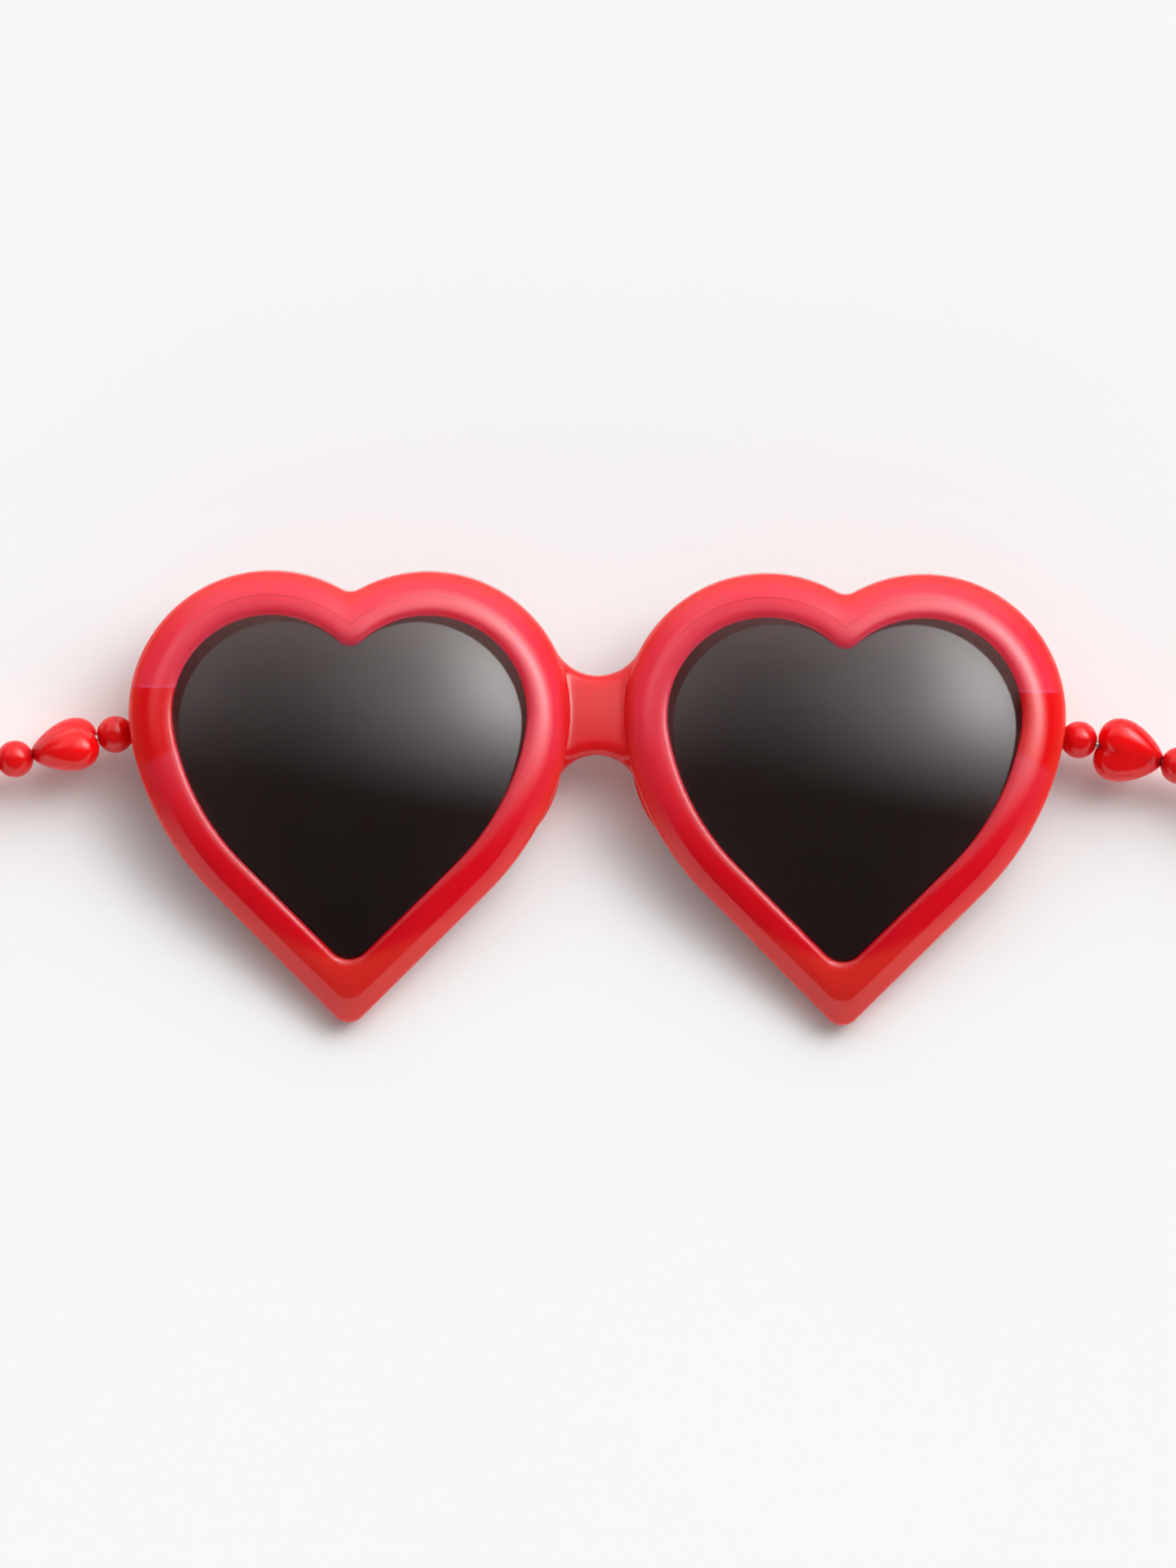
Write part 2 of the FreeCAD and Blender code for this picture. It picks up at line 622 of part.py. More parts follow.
def temple_wire(side):
    body, path = body_with_sketch(side + "_temple_wire")
    distance = 0.0
    for i, (length, heading, radius) in enumerate(RUNS):
        x, y, _ = along(distance)
        distance += length
        end_x, end_y, end = along(distance)
        if radius is None:
            path.addGeometry(line((x, y), (end_x, end_y)), False)
        else:
            centre = polar(x, y, radius, heading - 90)
            path.addGeometry(arc(*centre, radius, 90 + end, 90 + heading), False)
        path.addConstraint(Sketcher.Constraint("Block", i))
    circle = sketch_in(body, side + "_wire_section", "YZ_Plane")
    circle.AttachmentOffset = place(0, 0, WIRE_START)
    circle.addGeometry(Part.Circle(vector(0, 0), Z_AXIS, size("wire_radius")), False)
    coincident(circle, (0, 3, -1, 1))
    dimension(circle, "section", "wire_radius", "Radius", 0)
    pipe = body.newObject("PartDesign::AdditivePipe", side + "_wire_pipe")
    pipe.Profile = circle
    pipe.Spine = (path, [f"Edge{i + 1}" for i in range(len(RUNS))])
    body.Tip = pipe
    return body


def round_bead(name):
    """Ball bored along its own X axis."""
    body, sketch = body_with_sketch(name)
    radius = size("bead_radius")
    bore = size("bead_bore")
    half = math.sqrt(radius**2 - bore**2)
    start = math.degrees(math.asin(bore / radius))
    sketch.addGeometry([arc(0, 0, radius, start, 180 - start), line((-half, bore), (half, bore))], False)
    coincident(sketch, (0, 3, -1, 1), (0, 2, 1, 1), (0, 1, 1, 2))
    sketch.addConstraint(Sketcher.Constraint("Horizontal", 1))
    dimension(sketch, "ball", "bead_radius", "Radius", 0)
    dimension(sketch, "bore", "bead_bore", "DistanceY", -1, 1, 1, 2)
    revolved(body, "PartDesign::Revolution", name + "_ball", sketch, "H_Axis")
    return body


def teardrop(body, name, back, offset, radius):
    """Swelling from a ball, behind the middle and beside the axis, to the tip of a heart bead."""
    sketch = sketch_in(body, name + "_sketch")
    ball = vector(-size(back), size(offset))
    tip = vector(size("heart_tip_ahead"), 0)
    ball_radius = size(radius)
    tip_radius = size("heart_tip_radius")
    run = tip - ball
    heading = math.degrees(math.atan2(run.y, run.x))
    touch = math.degrees(math.acos((ball_radius - tip_radius) / run.Length))

    side_angle = heading + touch
    back_angle = heading + 180
    ball_side = polar(ball.x, ball.y, ball_radius, side_angle)
    ball_back = polar(ball.x, ball.y, ball_radius, back_angle)
    tip_side = polar(tip.x, tip.y, tip_radius, side_angle)
    tip_end = polar(tip.x, tip.y, tip_radius, heading)
    sketch.addGeometry(
        [
            arc(ball.x, ball.y, ball_radius, side_angle, back_angle),
            line(ball_side, tip_side),
            arc(tip.x, tip.y, tip_radius, heading, side_angle),
            line(ball_back, tip_end),
        ],
        False,
    )
    sketch.addConstraint(Sketcher.Constraint("Tangent", 0, 1, 1, 1))
    sketch.addConstraint(Sketcher.Constraint("Tangent", 1, 2, 2, 2))
    sketch.addGeometry(line((ball.x, ball.y), (tip.x, tip.y)), True)
    coincident(sketch, (0, 2, 3, 1), (2, 1, 3, 2), (4, 1, 0, 3), (4, 2, 2, 3))
    sketch.addConstraint(Sketcher.Constraint("PointOnObject", 0, 3, 3))
    sketch.addConstraint(Sketcher.Constraint("PointOnObject", 2, 3, 3))
    sketch.addConstraint(Sketcher.Constraint("PointOnObject", 2, 3, -1))
    dimension(sketch, "ball", radius, "Radius", 0)
    dimension(sketch, "tip", "heart_tip_radius", "Radius", 2)
    dimension(sketch, "tip_ahead", "heart_tip_ahead", "DistanceX", -1, 1, 2, 3)
    dimension(sketch, "ball_back", back, "DistanceX", 0, 3, -1, 1)
    if ball.y > 0:
        dimension(sketch, "ball_offset", offset, "DistanceY", -1, 1, 0, 3)
    else:
        sketch.addConstraint(Sketcher.Constraint("PointOnObject", 0, 3, -1))
    return revolved(body, "PartDesign::Revolution", name, sketch, "Axis0")


def heart_bead(name):
    """Puffed heart, notch towards -X and tip towards +X, bored along its own X axis."""
    body = doc.addObject("PartDesign::Body", name)
    teardrop(body, name + "_core", "heart_core_back", "0", "heart_core_radius")
    lobe = teardrop(body, name + "_lobe", "heart_lobe_back", "heart_lobe_offset", "heart_lobe_radius")
    mirrored = body.newObject("PartDesign::Mirrored", name + "_lobes")
    mirrored.Originals = [lobe]
    plane = [feature for feature in body.Origin.OriginFeatures if feature.Role == "XZ_Plane"][0]
    mirrored.MirrorPlane = (plane, [""])
    body.Tip = mirrored
    doc.recompute()
    sketch = sketch_in(body, name + "_bore_sketch")
    reach = 2 * size("heart_tip_ahead + heart_tip_radius")
    corners = ((-reach, 0), (reach, 0), (reach, HEART_BORE), (-reach, HEART_BORE))
    sketch.addGeometry([line(corners[i - 1], corners[i]) for i in range(len(corners))], False)
    coincident(sketch, (0, 2, 1, 1), (1, 2, 2, 1), (2, 2, 3, 1), (3, 2, 0, 1))
    sketch.addConstraint(Sketcher.Constraint("Block", 1))
    for i in (0, 2):
        sketch.addConstraint(Sketcher.Constraint("Vertical", i))
    sketch.addConstraint(Sketcher.Constraint("Horizontal", 3))
    dimension(sketch, "bore", "wire_radius + heart_bore_fit", "DistanceY", 2, 1, 2, 2)
    revolved(body, "PartDesign::Groove", name + "_bore", sketch, "H_Axis")
    return body


def end_cap(name):
    """Round-ended cap along its own X axis, socketed on the end of the wire."""
    body, sketch = body_with_sketch(name)
    radius = size("cap_radius")
    length = size("cap_length")
    socket = size("cap_socket")
    bore = size("wire_radius + wire_fit")
    shoulder = length - radius
    points = ((socket, 0), (socket, bore), (0, bore), (0, radius), (shoulder, radius))
    sketch.addGeometry([line(points[i], points[i + 1]) for i in range(4)], False)
    sketch.addGeometry(arc(shoulder, 0, radius, 0, 90), False)
    sketch.addGeometry(line((length, 0), points[0]), False)
    coincident(sketch, (0, 2, 1, 1), (1, 2, 2, 1), (2, 2, 3, 1), (5, 2, 0, 1), (4, 1, 5, 1))
    for i in (0, 2):
        sketch.addConstraint(Sketcher.Constraint("Vertical", i))
    sketch.addConstraint(Sketcher.Constraint("Horizontal", 1))
    sketch.addConstraint(Sketcher.Constraint("Tangent", 3, 2, 4, 2))
    for geometry, point, axis in ((0, 1, -1), (4, 3, -1), (4, 1, -1), (2, 1, -2)):
        sketch.addConstraint(Sketcher.Constraint("PointOnObject", geometry, point, axis))
    dimension(sketch, "round_end", "cap_radius", "Radius", 4)
    dimension(sketch, "shoulder", "cap_length - cap_radius", "DistanceX", -1, 1, 4, 3)
    dimension(sketch, "socket", "cap_socket", "DistanceX", -1, 1, 0, 1)
    dimension(sketch, "bore", "wire_radius + wire_fit", "DistanceY", -1, 1, 0, 2)
    revolved(body, "PartDesign::Revolution", name + "_turned", sketch, "H_Axis")
    return body


def arm(side):
    """Everything that swings with one arm, and the places of its beads."""
    upright = turn(X_AXIS, -90)
    low = size(f"-hinge_level - ( {HINGE_GAP} ) / 2 + barrel_end_gap") - WIRE_LEVEL
    keep(side + "_hinge_barrel", hinge_barrel(side), arm_place(side) * place(0, low, 0, upright))
    keep(side + "_temple_wire", temple_wire(side), arm_place(side))
    distance = STRAIGHT_START + FIRST_BEAD
    count = 0
    for i in range(HEARTS_PER_ARM):
        for step in (0.0, HEART_NOTCH + HEART_NEXT):
            count += 1
            spot = wire_place(side, distance + step)
            keep(f"{side}_round_bead_{count:02d}", round_bead(f"{side}_round_{count:02d}"), spot)
        spot = wire_place(side, distance + HEART_NOTCH, HEART_TURNS[side][i])
        keep(f"{side}_heart_bead_{i + 1}", heart_bead(f"{side}_heart_{i + 1}"), spot)
        distance += HEART_NOTCH + HEART_NEXT + BEAD_STEP
    for _ in range(EAR_BEADS):
        count += 1
        spot = wire_place(side, distance)
        keep(f"{side}_round_bead_{count:02d}", round_bead(f"{side}_round_{count:02d}"), spot)
        distance += BEAD_STEP
    keep(side + "_end_cap", end_cap(side + "_cap"), wire_place(side, WIRE_LENGTH - size("cap_socket")))


keep("front_frame", front_frame(), place(0, 0, 0))
for side in SIDES:
    keep(side + "_lens", lens_slice(side + "_lens", side, LENS, "0"), place(0, 0, 0))
    keep(side + "_hinge_block", hinge_block(side), place(0, 0, 0))
    upright = place(SIDES[side] * PIN_X, BLOCK_BOTTOM, PIN_Z, turn(X_AXIS, -90))
    keep(side + "_hinge_screw", hinge_screw(side), upright)
    arm(side)
doc.recompute()

# The front lies tilted on the table; the origin is under the middle of the whole part
lying = place(0, 0, -TABLE, turn(X_AXIS, TILT))
for made, local in subparts.values():
    made.Placement = lying * local
doc.recompute()
boxes = [made.Shape.optimalBoundingBox(False, False) for made, _ in subparts.values()]
middle = (min(box.YMin for box in boxes) + max(box.YMax for box in boxes)) / 2
shift = place(0, -middle, 0)
for made, local in subparts.values():
    made.Placement = shift * lying * local
doc.recompute()

for made in doc.Objects:
    if "Invalid" in made.State or "Error" in made.State:
        raise RuntimeError(f"{made.Name} failed: {made.State}")
for label, (made, _) in subparts.items():
    if made.Shape.isNull() or not made.Shape.isValid() or made.Shape.Volume <= 0:
        raise RuntimeError(f"{label} has no valid shape")

os.makedirs("parts", exist_ok=True)
for label, (made, _) in subparts.items():
    made.Shape.exportStep(f"parts/{label}.step")

print("sub-parts", len(subparts))
print("raise", round(RAISE, 3), "pin", round(PIN_X, 3), round(PIN_Z, 3), "wire level", round(WIRE_LEVEL, 3))
for side in SIDES:
    frame = shift * lying * arm_place(side)
    hinge = lying.Rotation.multVec(Y_AXIS)
    print("hinge", side, [round(c, 4) for c in frame.Base], [round(c, 6) for c in hinge])
    for i in range(HEARTS_PER_ARM):
        spot = subparts[f"{side}_heart_bead_{i + 1}"][0].Placement
        axis = spot.Rotation.multVec(X_AXIS)
        print("spin", side, i + 1, [round(c, 4) for c in spot.Base], [round(c, 6) for c in axis])
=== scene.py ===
# %% [markdown]
# # Heart-shaped sunglasses with beaded arms
# The packed solids come in first, as a fixed frame in metres. Each new piece below stands where its solid is,
# rides on the body that carries that solid, and takes its place in the picture. The box round the solids is
# kept.

# %% Load the packed solids
import json
import math
import bmesh
import bpy
from mathutils import Matrix, Vector


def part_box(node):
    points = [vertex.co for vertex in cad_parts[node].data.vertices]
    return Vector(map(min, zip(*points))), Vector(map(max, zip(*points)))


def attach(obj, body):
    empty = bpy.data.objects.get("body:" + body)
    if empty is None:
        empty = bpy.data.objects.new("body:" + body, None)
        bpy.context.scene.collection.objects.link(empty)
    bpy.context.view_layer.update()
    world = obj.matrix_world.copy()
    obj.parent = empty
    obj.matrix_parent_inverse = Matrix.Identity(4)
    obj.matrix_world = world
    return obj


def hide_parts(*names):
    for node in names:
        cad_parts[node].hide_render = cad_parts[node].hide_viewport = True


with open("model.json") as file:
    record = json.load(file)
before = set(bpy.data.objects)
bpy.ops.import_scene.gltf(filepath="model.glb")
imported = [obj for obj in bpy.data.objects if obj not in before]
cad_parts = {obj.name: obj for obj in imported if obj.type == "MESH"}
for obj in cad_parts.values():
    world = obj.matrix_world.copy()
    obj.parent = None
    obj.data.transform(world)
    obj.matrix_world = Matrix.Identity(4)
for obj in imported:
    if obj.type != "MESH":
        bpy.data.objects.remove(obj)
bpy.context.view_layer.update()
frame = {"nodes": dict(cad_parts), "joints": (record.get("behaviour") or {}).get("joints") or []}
MM = 0.001
joints = {joint["name"]: joint for joint in frame["joints"]}

# %% [markdown]
# ## Where the front lies
# The front was drawn flat, with u to the right, v up and w towards the viewer, and then laid on the table
# with its upper half propped up by the hinge blocks. The hinge joint gives the tilt and the place, so
# neither has to be copied by eye: its axis is the front's own v direction, and its point is the pin, whose
# place on the drawing is known.

# %% The front's own frame
hinge = joints["right_arm_fold"]
TILT = math.atan2(hinge["axis"][2], hinge["axis"][1])
LEAN = Matrix.Rotation(TILT, 4, "X")
PIN_ON_DRAWING = Vector((70.6288, -2.9759, -7.2)) * MM
FRONT = Matrix.Translation(Vector(hinge["pos_m"]) - LEAN @ PIN_ON_DRAWING) @ LEAN
print("front tilt in degrees:", round(math.degrees(TILT), 2),
      "origin:", [round(x, 5) for x in FRONT.translation])

# %% [markdown]
# ## Numbers of a heart
# Each heart of the front is drawn round its own upright axis, from two lobes, two long side arcs and two
# straight runs that meet in the tip. The finishes find seams and edges from these numbers, and the rims are
# drawn from them. They are millimetres on the drawing, and `mm` turns lengths into metres.

# %% Arcs of the heart
HEART_AXIS, RIM_WIDTH = 39.7, 7.05
LOBE_OUT, LOBE_RADIUS = 12.6, 22.9
SHOULDER, SIDE_RADIUS, TIP_HALF = math.radians(10), 46.5, math.radians(44.8)
SIDE_BACK = SIDE_RADIUS - LOBE_RADIUS
SIDE_X, SIDE_Y = LOBE_OUT - SIDE_BACK * math.cos(SHOULDER), SIDE_BACK * math.sin(SHOULDER)
RUN_REACH = SIDE_X * math.cos(TIP_HALF) - SIDE_Y * math.sin(TIP_HALF) + SIDE_RADIUS


def mm(*lengths):
    return [length * MM for length in lengths]


print("straight runs lie", round(RUN_REACH, 2), "mm from the middle of the lobes")

# %% [markdown]
# ## Camera
# The photograph looks down from about 1.5 m, leaning 4.5 degrees towards the viewer's end of the table,
# which was found by fitting the notches, tips, bridge and beads to their places in it. One millimetre at
# the height of the rims is 6.36 of its pixels, so the picture is 252 mm high. The sensor is fitted by its
# height, because the picture is upright.

# %% The camera over the table
LOOK_AT = Vector((-0.73, 6.02, 10.0)) * MM
CAMERA_AWAY, CAMERA_LEAN, CAMERA_ROLL = 1.500, math.radians(4.55), math.radians(0.33)
PICTURE_HEIGHT, SENSOR_HEIGHT = 0.2517, 36.0
lens_data = bpy.data.cameras.new("overhead_camera")
lens_data.sensor_fit = "VERTICAL"
lens_data.sensor_height = SENSOR_HEIGHT
lens_data.lens = SENSOR_HEIGHT * CAMERA_AWAY / PICTURE_HEIGHT
lens_data.clip_start = 0.05
camera = bpy.data.objects.new("overhead_camera", lens_data)
camera.location = LOOK_AT + Vector((0, -math.sin(CAMERA_LEAN), math.cos(CAMERA_LEAN))) * CAMERA_AWAY
camera.rotation_euler = (CAMERA_LEAN, 0, CAMERA_ROLL)
bpy.context.scene.collection.objects.link(camera)
bpy.context.scene.camera = camera
bpy.context.scene.view_settings.view_transform = "Standard"
print("camera focal length:", round(lens_data.lens, 1), "mm")

# %% [markdown]
# ## Arithmetic for finishes
# A finish is a small network of shader nodes. Wiring each Math node by hand hides the idea, so one small
# class wraps an output socket: adding, subtracting or multiplying two of them makes the Math node, and
# `node` adds any other kind of node.

# %% A socket that can be added and multiplied
class Wire:
    """One output of a shader node."""

    def __init__(self, tree, socket):
        self.tree, self.socket = tree, socket

    def node(self, kind, inputs=None, output=0, **settings):
        made = self.tree.nodes.new(kind)
        for name, value in settings.items():
            setattr(made, name, value)
        for name, value in (inputs or {}).items():
            if isinstance(value, Wire):
                self.tree.links.new(value.socket, made.inputs[name])
            else:
                made.inputs[name].default_value = value
        return Wire(self.tree, made.outputs[output])

    def math(self, operation, first, second=0.0):
        return self.node("ShaderNodeMath", {0: first, 1: second}, operation=operation)

    def __add__(self, other):
        return self.math("ADD", self, other)

    __radd__ = __add__

    def __sub__(self, other):
        return self.math("SUBTRACT", self, other)

    def __rsub__(self, other):
        return self.math("SUBTRACT", other, self)

    def __mul__(self, other):
        return self.math("MULTIPLY", self, other)

    __rmul__ = __mul__

    def __truediv__(self, other):
        return self.math("DIVIDE", self, other)

    def size(self):
        return self.math("ABSOLUTE", self)

    def far(self, first, second):
        """How far two lengths at right angles reach together."""
        return self.math("SQRT", first * first + second * second)

    def ramp(self, low, high, start=0.0, end=1.0):
        """Goes smoothly from start to end while this goes from low to high."""
        return self.node("ShaderNodeMapRange", {0: self, 1: low, 2: high, 3: start, 4: end},
                         interpolation_type="SMOOTHSTEP")

    def tint(self, dark, light):
        """A colour between two colours, with this as the share of the second."""
        return self.node("ShaderNodeMix", {0: self, 6: dark, 7: light}, output=2, data_type="RGBA")

    def along(self, direction):
        """The length of this vector along a direction."""
        return self.node("ShaderNodeVectorMath", {0: self, 1: tuple(direction)}, output="Value",
                         operation="DOT_PRODUCT")

    def noise(self, scale, detail=2.0):
        return self.node("ShaderNodeTexNoise", {"Vector": self, "Scale": scale, "Detail": detail})


print("a wire can:", ", ".join(word for word in vars(Wire) if not word.startswith("_")))

# %% A new finish
def finish(name):
    """A new material: its tree, its main shader and the object's own coordinates."""
    material = bpy.data.materials.new(name)
    material.use_nodes = True
    tree = material.node_tree
    shader = tree.nodes["Principled BSDF"]
    place = tree.nodes.new("ShaderNodeTexCoord")
    return material, shader, Wire(tree, place.outputs["Object"])


def connect(wire, shader, name):
    wire.tree.links.new(wire.socket, shader.inputs[name])


def set_numbers(shader, **numbers):
    for name, value in numbers.items():
        shader.inputs[name.replace("_", " ")].default_value = value


print("finish helpers ready")

# %% [markdown]
# ## Places on the front and the dome of the hearts
# Patches of colour are placed on the front's drawing, so the finishes need to know where a point lies on
# it. The reflections in the photograph fit hearts that are domed more strongly than the solids, with the
# top of the dome below the middle of each heart. The finishes lean the normals by the rest of that dome,
# which moves the reflections and leaves the shape alone.

# %% A place on the drawing and its leaned normal
BRIDGE_FADE = mm(3.0, 6.2)


def heart_place(place, bend, lean):
    """A point on the front's drawing and its normal, leaned by a slope that grows by bend for each metre."""
    drawing = place.node("ShaderNodeMapping", {"Vector": place, "Location": tuple(FRONT.translation),
                                               "Rotation": (TILT, 0, 0)}, vector_type="TEXTURE")
    u, v = drawing.along((1, 0, 0)), drawing.along((0, 1, 0))
    normal = place.node("ShaderNodeNewGeometry", output="Normal")
    facing = normal.along(LEAN @ Vector((0, 0, 1)))
    from_axis = u - HEART_AXIS * MM * u.math("SIGN", u)
    slope_u = from_axis * bend * u.size().ramp(*BRIDGE_FADE)
    slope_v = v * bend + lean
    leaned = normal
    for slope, way in ((slope_u, (1, 0, 0)), (slope_v, (0, 1, 0))):
        push = place.node("ShaderNodeVectorMath", {0: tuple(LEAN @ Vector(way)), "Scale": slope * facing},
                          operation="SCALE")
        leaned = place.node("ShaderNodeVectorMath", {0: leaned, 1: push}, operation="ADD")
    leaned = place.node("ShaderNodeVectorMath", {0: leaned}, operation="NORMALIZE")
    return drawing, u, v, leaned


print("hearts are leaned beyond", [round(fade / MM, 1) for fade in BRIDGE_FADE], "mm from the middle")

# %% [markdown]
# ## Studio light
# Each round bead is a small mirror of the room. It shows one big soft panel that starts overhead and runs
# down to the far horizon, brighter towards the right and with a hot spot there, a pale card low at the
# viewer's end, and a dim room. A lamp object could be the panel, but its uneven face is easier to write
# down in the world itself, in degrees from the zenith to the right and in degrees from the zenith to the
# far end. Near the far horizon the degrees to the right say little, so there the panel's ends give way and
# its face is even.

# %% Where the panel is
PANEL_SLANT, PANEL_START, PANEL_LOW = 0.15, (0.0, 35.0), (68.0, 115.0, 1, 0.3)
LEFT_END, RIGHT_END, STRAIGHT_OFF = (-72.0, -48.0), (48.0, 74.0, 1, 0), (0.60, 0.88)
sky = bpy.data.worlds.new("studio_light")
sky.use_nodes = True
bpy.context.scene.world = sky
sky_place = sky.node_tree.nodes.new("ShaderNodeTexCoord")
look = Wire(sky.node_tree, sky_place.outputs["Generated"])
sideways, far_way, height = [look.along(way) for way in ((1, 0, 0), (0, 1, 0), (0, 0, 1))]
to_right = look.math("ARCTAN2", sideways, height) * math.degrees(1)
upwards = look.math("ARCTAN2", far_way, height) * math.degrees(1)
straight_off = far_way.ramp(*STRAIGHT_OFF)
left_end = look.math("MAXIMUM", to_right.ramp(*LEFT_END), straight_off)
right_end = look.math("MAXIMUM", to_right.ramp(*RIGHT_END), straight_off)
overhead = (upwards + to_right * PANEL_SLANT).ramp(*PANEL_START)
panel = overhead * upwards.ramp(*PANEL_LOW) * left_end * right_end
print("panel nodes:", len(sky.node_tree.nodes))

# %% How bright the panel, the low card and the room are
FACE_RISE, LEFT_GLOW = (-25.0, 45.0, 0.9, 4.2), (-55.0, -30.0, 0.5, 0)
HOT_RIGHT, HOT_UP, HOT_SPREAD, HOT_LIGHT = 42.0, 36.0, 10.0, 5.6
EVEN_FACE, EVEN_FROM = 1.2, (54.0, 75.0)
CARD_TOP, CARD_END, ROOM_LIGHT = (26, 21), (0.10, 0.45), 0.125
aside, above = (to_right - HOT_RIGHT) / HOT_SPREAD, (upwards - HOT_UP) / HOT_SPREAD
hot_spot = look.math("EXPONENT", (aside * aside + above * above) * -0.5) * HOT_LIGHT
uneven_face = to_right.ramp(*FACE_RISE) + to_right.ramp(*LEFT_GLOW) + hot_spot
low_down = upwards.ramp(*EVEN_FROM)
face = uneven_face * (1 - low_down) + EVEN_FACE * low_down
low_enough = height.ramp(*[math.sin(math.radians(angle)) for angle in CARD_TOP])
low_card = look.along((0, -1, 0)).ramp(*CARD_END) * low_enough
brightness = ROOM_LIGHT + low_card + panel * face
background = sky.node_tree.nodes["Background"]
background.inputs["Color"].default_value = (1.0, 1.0, 1.0, 1)
sky.node_tree.links.new(brightness.socket, background.inputs["Strength"])
print("light nodes:", len(sky.node_tree.nodes))

# %% [markdown]
# ## Table
# The table is a plain pale sheet. A plane is enough for its shape, but a single colour looks like paper cut
# out of a screen, so a very faint cloud of lighter and darker white runs through it. It is matt, because a
# glossy table would glare in low views.

# %% The pale table
TABLE_SIZE = 24.0
TABLE_DARK, TABLE_LIGHT = (0.90, 0.90, 0.90, 1), (0.915, 0.915, 0.915, 1)
bpy.ops.object.select_all(action="DESELECT")
bpy.ops.mesh.primitive_plane_add(size=TABLE_SIZE)
table = bpy.context.object
table.name = "pale_table"
table_white, shader, place = finish("table_white")
connect(place.noise(6.0).tint(TABLE_DARK, TABLE_LIGHT), shader, "Base Color")
set_numbers(shader, Roughness=0.6, Specular_IOR_Level=0.0)
table.data.materials.append(table_white)
print("table:", tuple(round(x, 2) for x in table.dimensions))

# %% [markdown]
# ## Red jelly plastic of the front
# The front is moulded from a see-through cherry red. White light from the table comes up through the raised
# upper half and turns it pinker there, while the lower tips rest on the table and stay deep red; that pinker
# upper half is painted light in the colour. The hinge block behind each outer side stops that light and shows
# through as a plain deeper red patch with a crisp upper edge, painted shade with a painted light line along
# its top. A true see-through solid would be slow and noisy, so the depth comes from scattering under the
# surface and the block's patch is a soft-edged mask in the front's own coordinates.

# %% Front plastic
RIM_DOME = (13.5, 0.33)
DEEP_RED, PAINTED_GLOW_PINK, CLOUD_RED = (0.68, 0.001, 0.010, 1), (0.88, 0.042, 0.082, 1), (0.64, 0.003, 0.022, 1)
PAINTED_GLOW_HEIGHT, CLOUD_SHARE, FRONT_GLOSS = mm(-26, 5), 0.10, (0.045, 0.085)
CLOUD_GRAIN, GLOSS_GRAIN, RIPPLE_GRAIN = 90.0, 420.0, 160.0
jelly_red, shader, place = finish("front_jelly_red")
drawing, u, v, domed = heart_place(place, *RIM_DOME)
off_middle = u.size()
# Painted light: the raised upper half is painted pinker, standing in for table light coming up through the
# plastic.
painted_glow_tint = v.ramp(*PAINTED_GLOW_HEIGHT).tint(DEEP_RED, PAINTED_GLOW_PINK)
clouding = drawing.noise(CLOUD_GRAIN).ramp(0.35, 0.65)
# The cloud is a random shift of the red; the colour it clouds still holds the painted pinker upper half.
glow_and_cloud_tint = (clouding * CLOUD_SHARE).tint(painted_glow_tint, CLOUD_RED)
connect(drawing.noise(GLOSS_GRAIN, 3.0).ramp(0.3, 0.8, *FRONT_GLOSS), shader, "Roughness")
ripple = drawing.node("ShaderNodeBump", {"Height": drawing.noise(RIPPLE_GRAIN), "Strength": 0.02,
                                         "Distance": 0.0003, "Normal": domed})
connect(ripple, shader, "Normal")
set_numbers(shader, Subsurface_Weight=1.0, Subsurface_Scale=0.012, Subsurface_Radius=(1.0, 0.12, 0.10),
            IOR=1.45)
print("front plastic nodes so far:", len(jelly_red.node_tree.nodes))

# %% Painted shade of the hinge blocks behind the plastic
BLOCK_SIDE, BLOCK_TOP, BLOCK_LOW = mm(66.0, 68.5), mm(4.0, 4.4), mm(-8.6, -7.0)
BLOCK_OUTSIDE, BLOCK_SLANT = 71.5 * MM, 0.57
LINE_LOW, LINE_HIGH, LINE_SHARE = mm(4.0, 4.3), mm(4.4, 4.8), 0.5
BLOCK_SHADE_RED, LIGHT_LINE_PINK = (0.80, 0.003, 0.006, 1), (0.80, 0.09, 0.20, 1)
# Painted shade: a deeper red patch where the block behind stops the light coming up through the plastic, with
# a painted light line along its upper edge.
beside = off_middle.ramp(*BLOCK_SIDE)
block_low = v + (off_middle - BLOCK_OUTSIDE) * BLOCK_SLANT
block_shade_patch = beside * v.ramp(*BLOCK_TOP, 1, 0) * block_low.ramp(*BLOCK_LOW)
block_light_line = beside * v.ramp(*LINE_LOW) * v.ramp(*LINE_HIGH, 1, 0)
block_shade_lined = (block_light_line * LINE_SHARE).tint(block_shade_patch.tint(glow_and_cloud_tint, BLOCK_SHADE_RED), LIGHT_LINE_PINK)
print("block patch between", BLOCK_LOW, "and", BLOCK_TOP)

# %% Seam, painted edge glow and painted bridge shade
SEAM_RED, EDGE_GLOW_PAINT, BRIDGE_SHADE_RED = (0.42, 0.002, 0.014, 1), (0.78, 0.032, 0.020, 1), (0.64, 0.004, 0.008, 1)
SEAM_INSET, SEAM_HALF, SEAM_HEIGHT, SEAM_SHARE = 3.7 * MM, mm(0.04, 0.16), mm(10, 14), 0.5
EDGE_SPAN, EDGE_SHARE, BRIDGE_SPAN, BRIDGE_SHARE = mm(0.2, 2.4), 0.8, mm(4.5, 6.5), 0.9
LOBE_HEIGHT = mm(-4.2, -3.8)
across = (off_middle - HEART_AXIS * MM).size()
lobe_inset = LOBE_RADIUS * MM - across.far(across - LOBE_OUT * MM, v)
side_inset = SIDE_RADIUS * MM - across.far(across - SIDE_X * MM, v - SIDE_Y * MM)
run_inset = RUN_REACH * MM - across * math.cos(TIP_HALF) + v * math.sin(TIP_HALF)
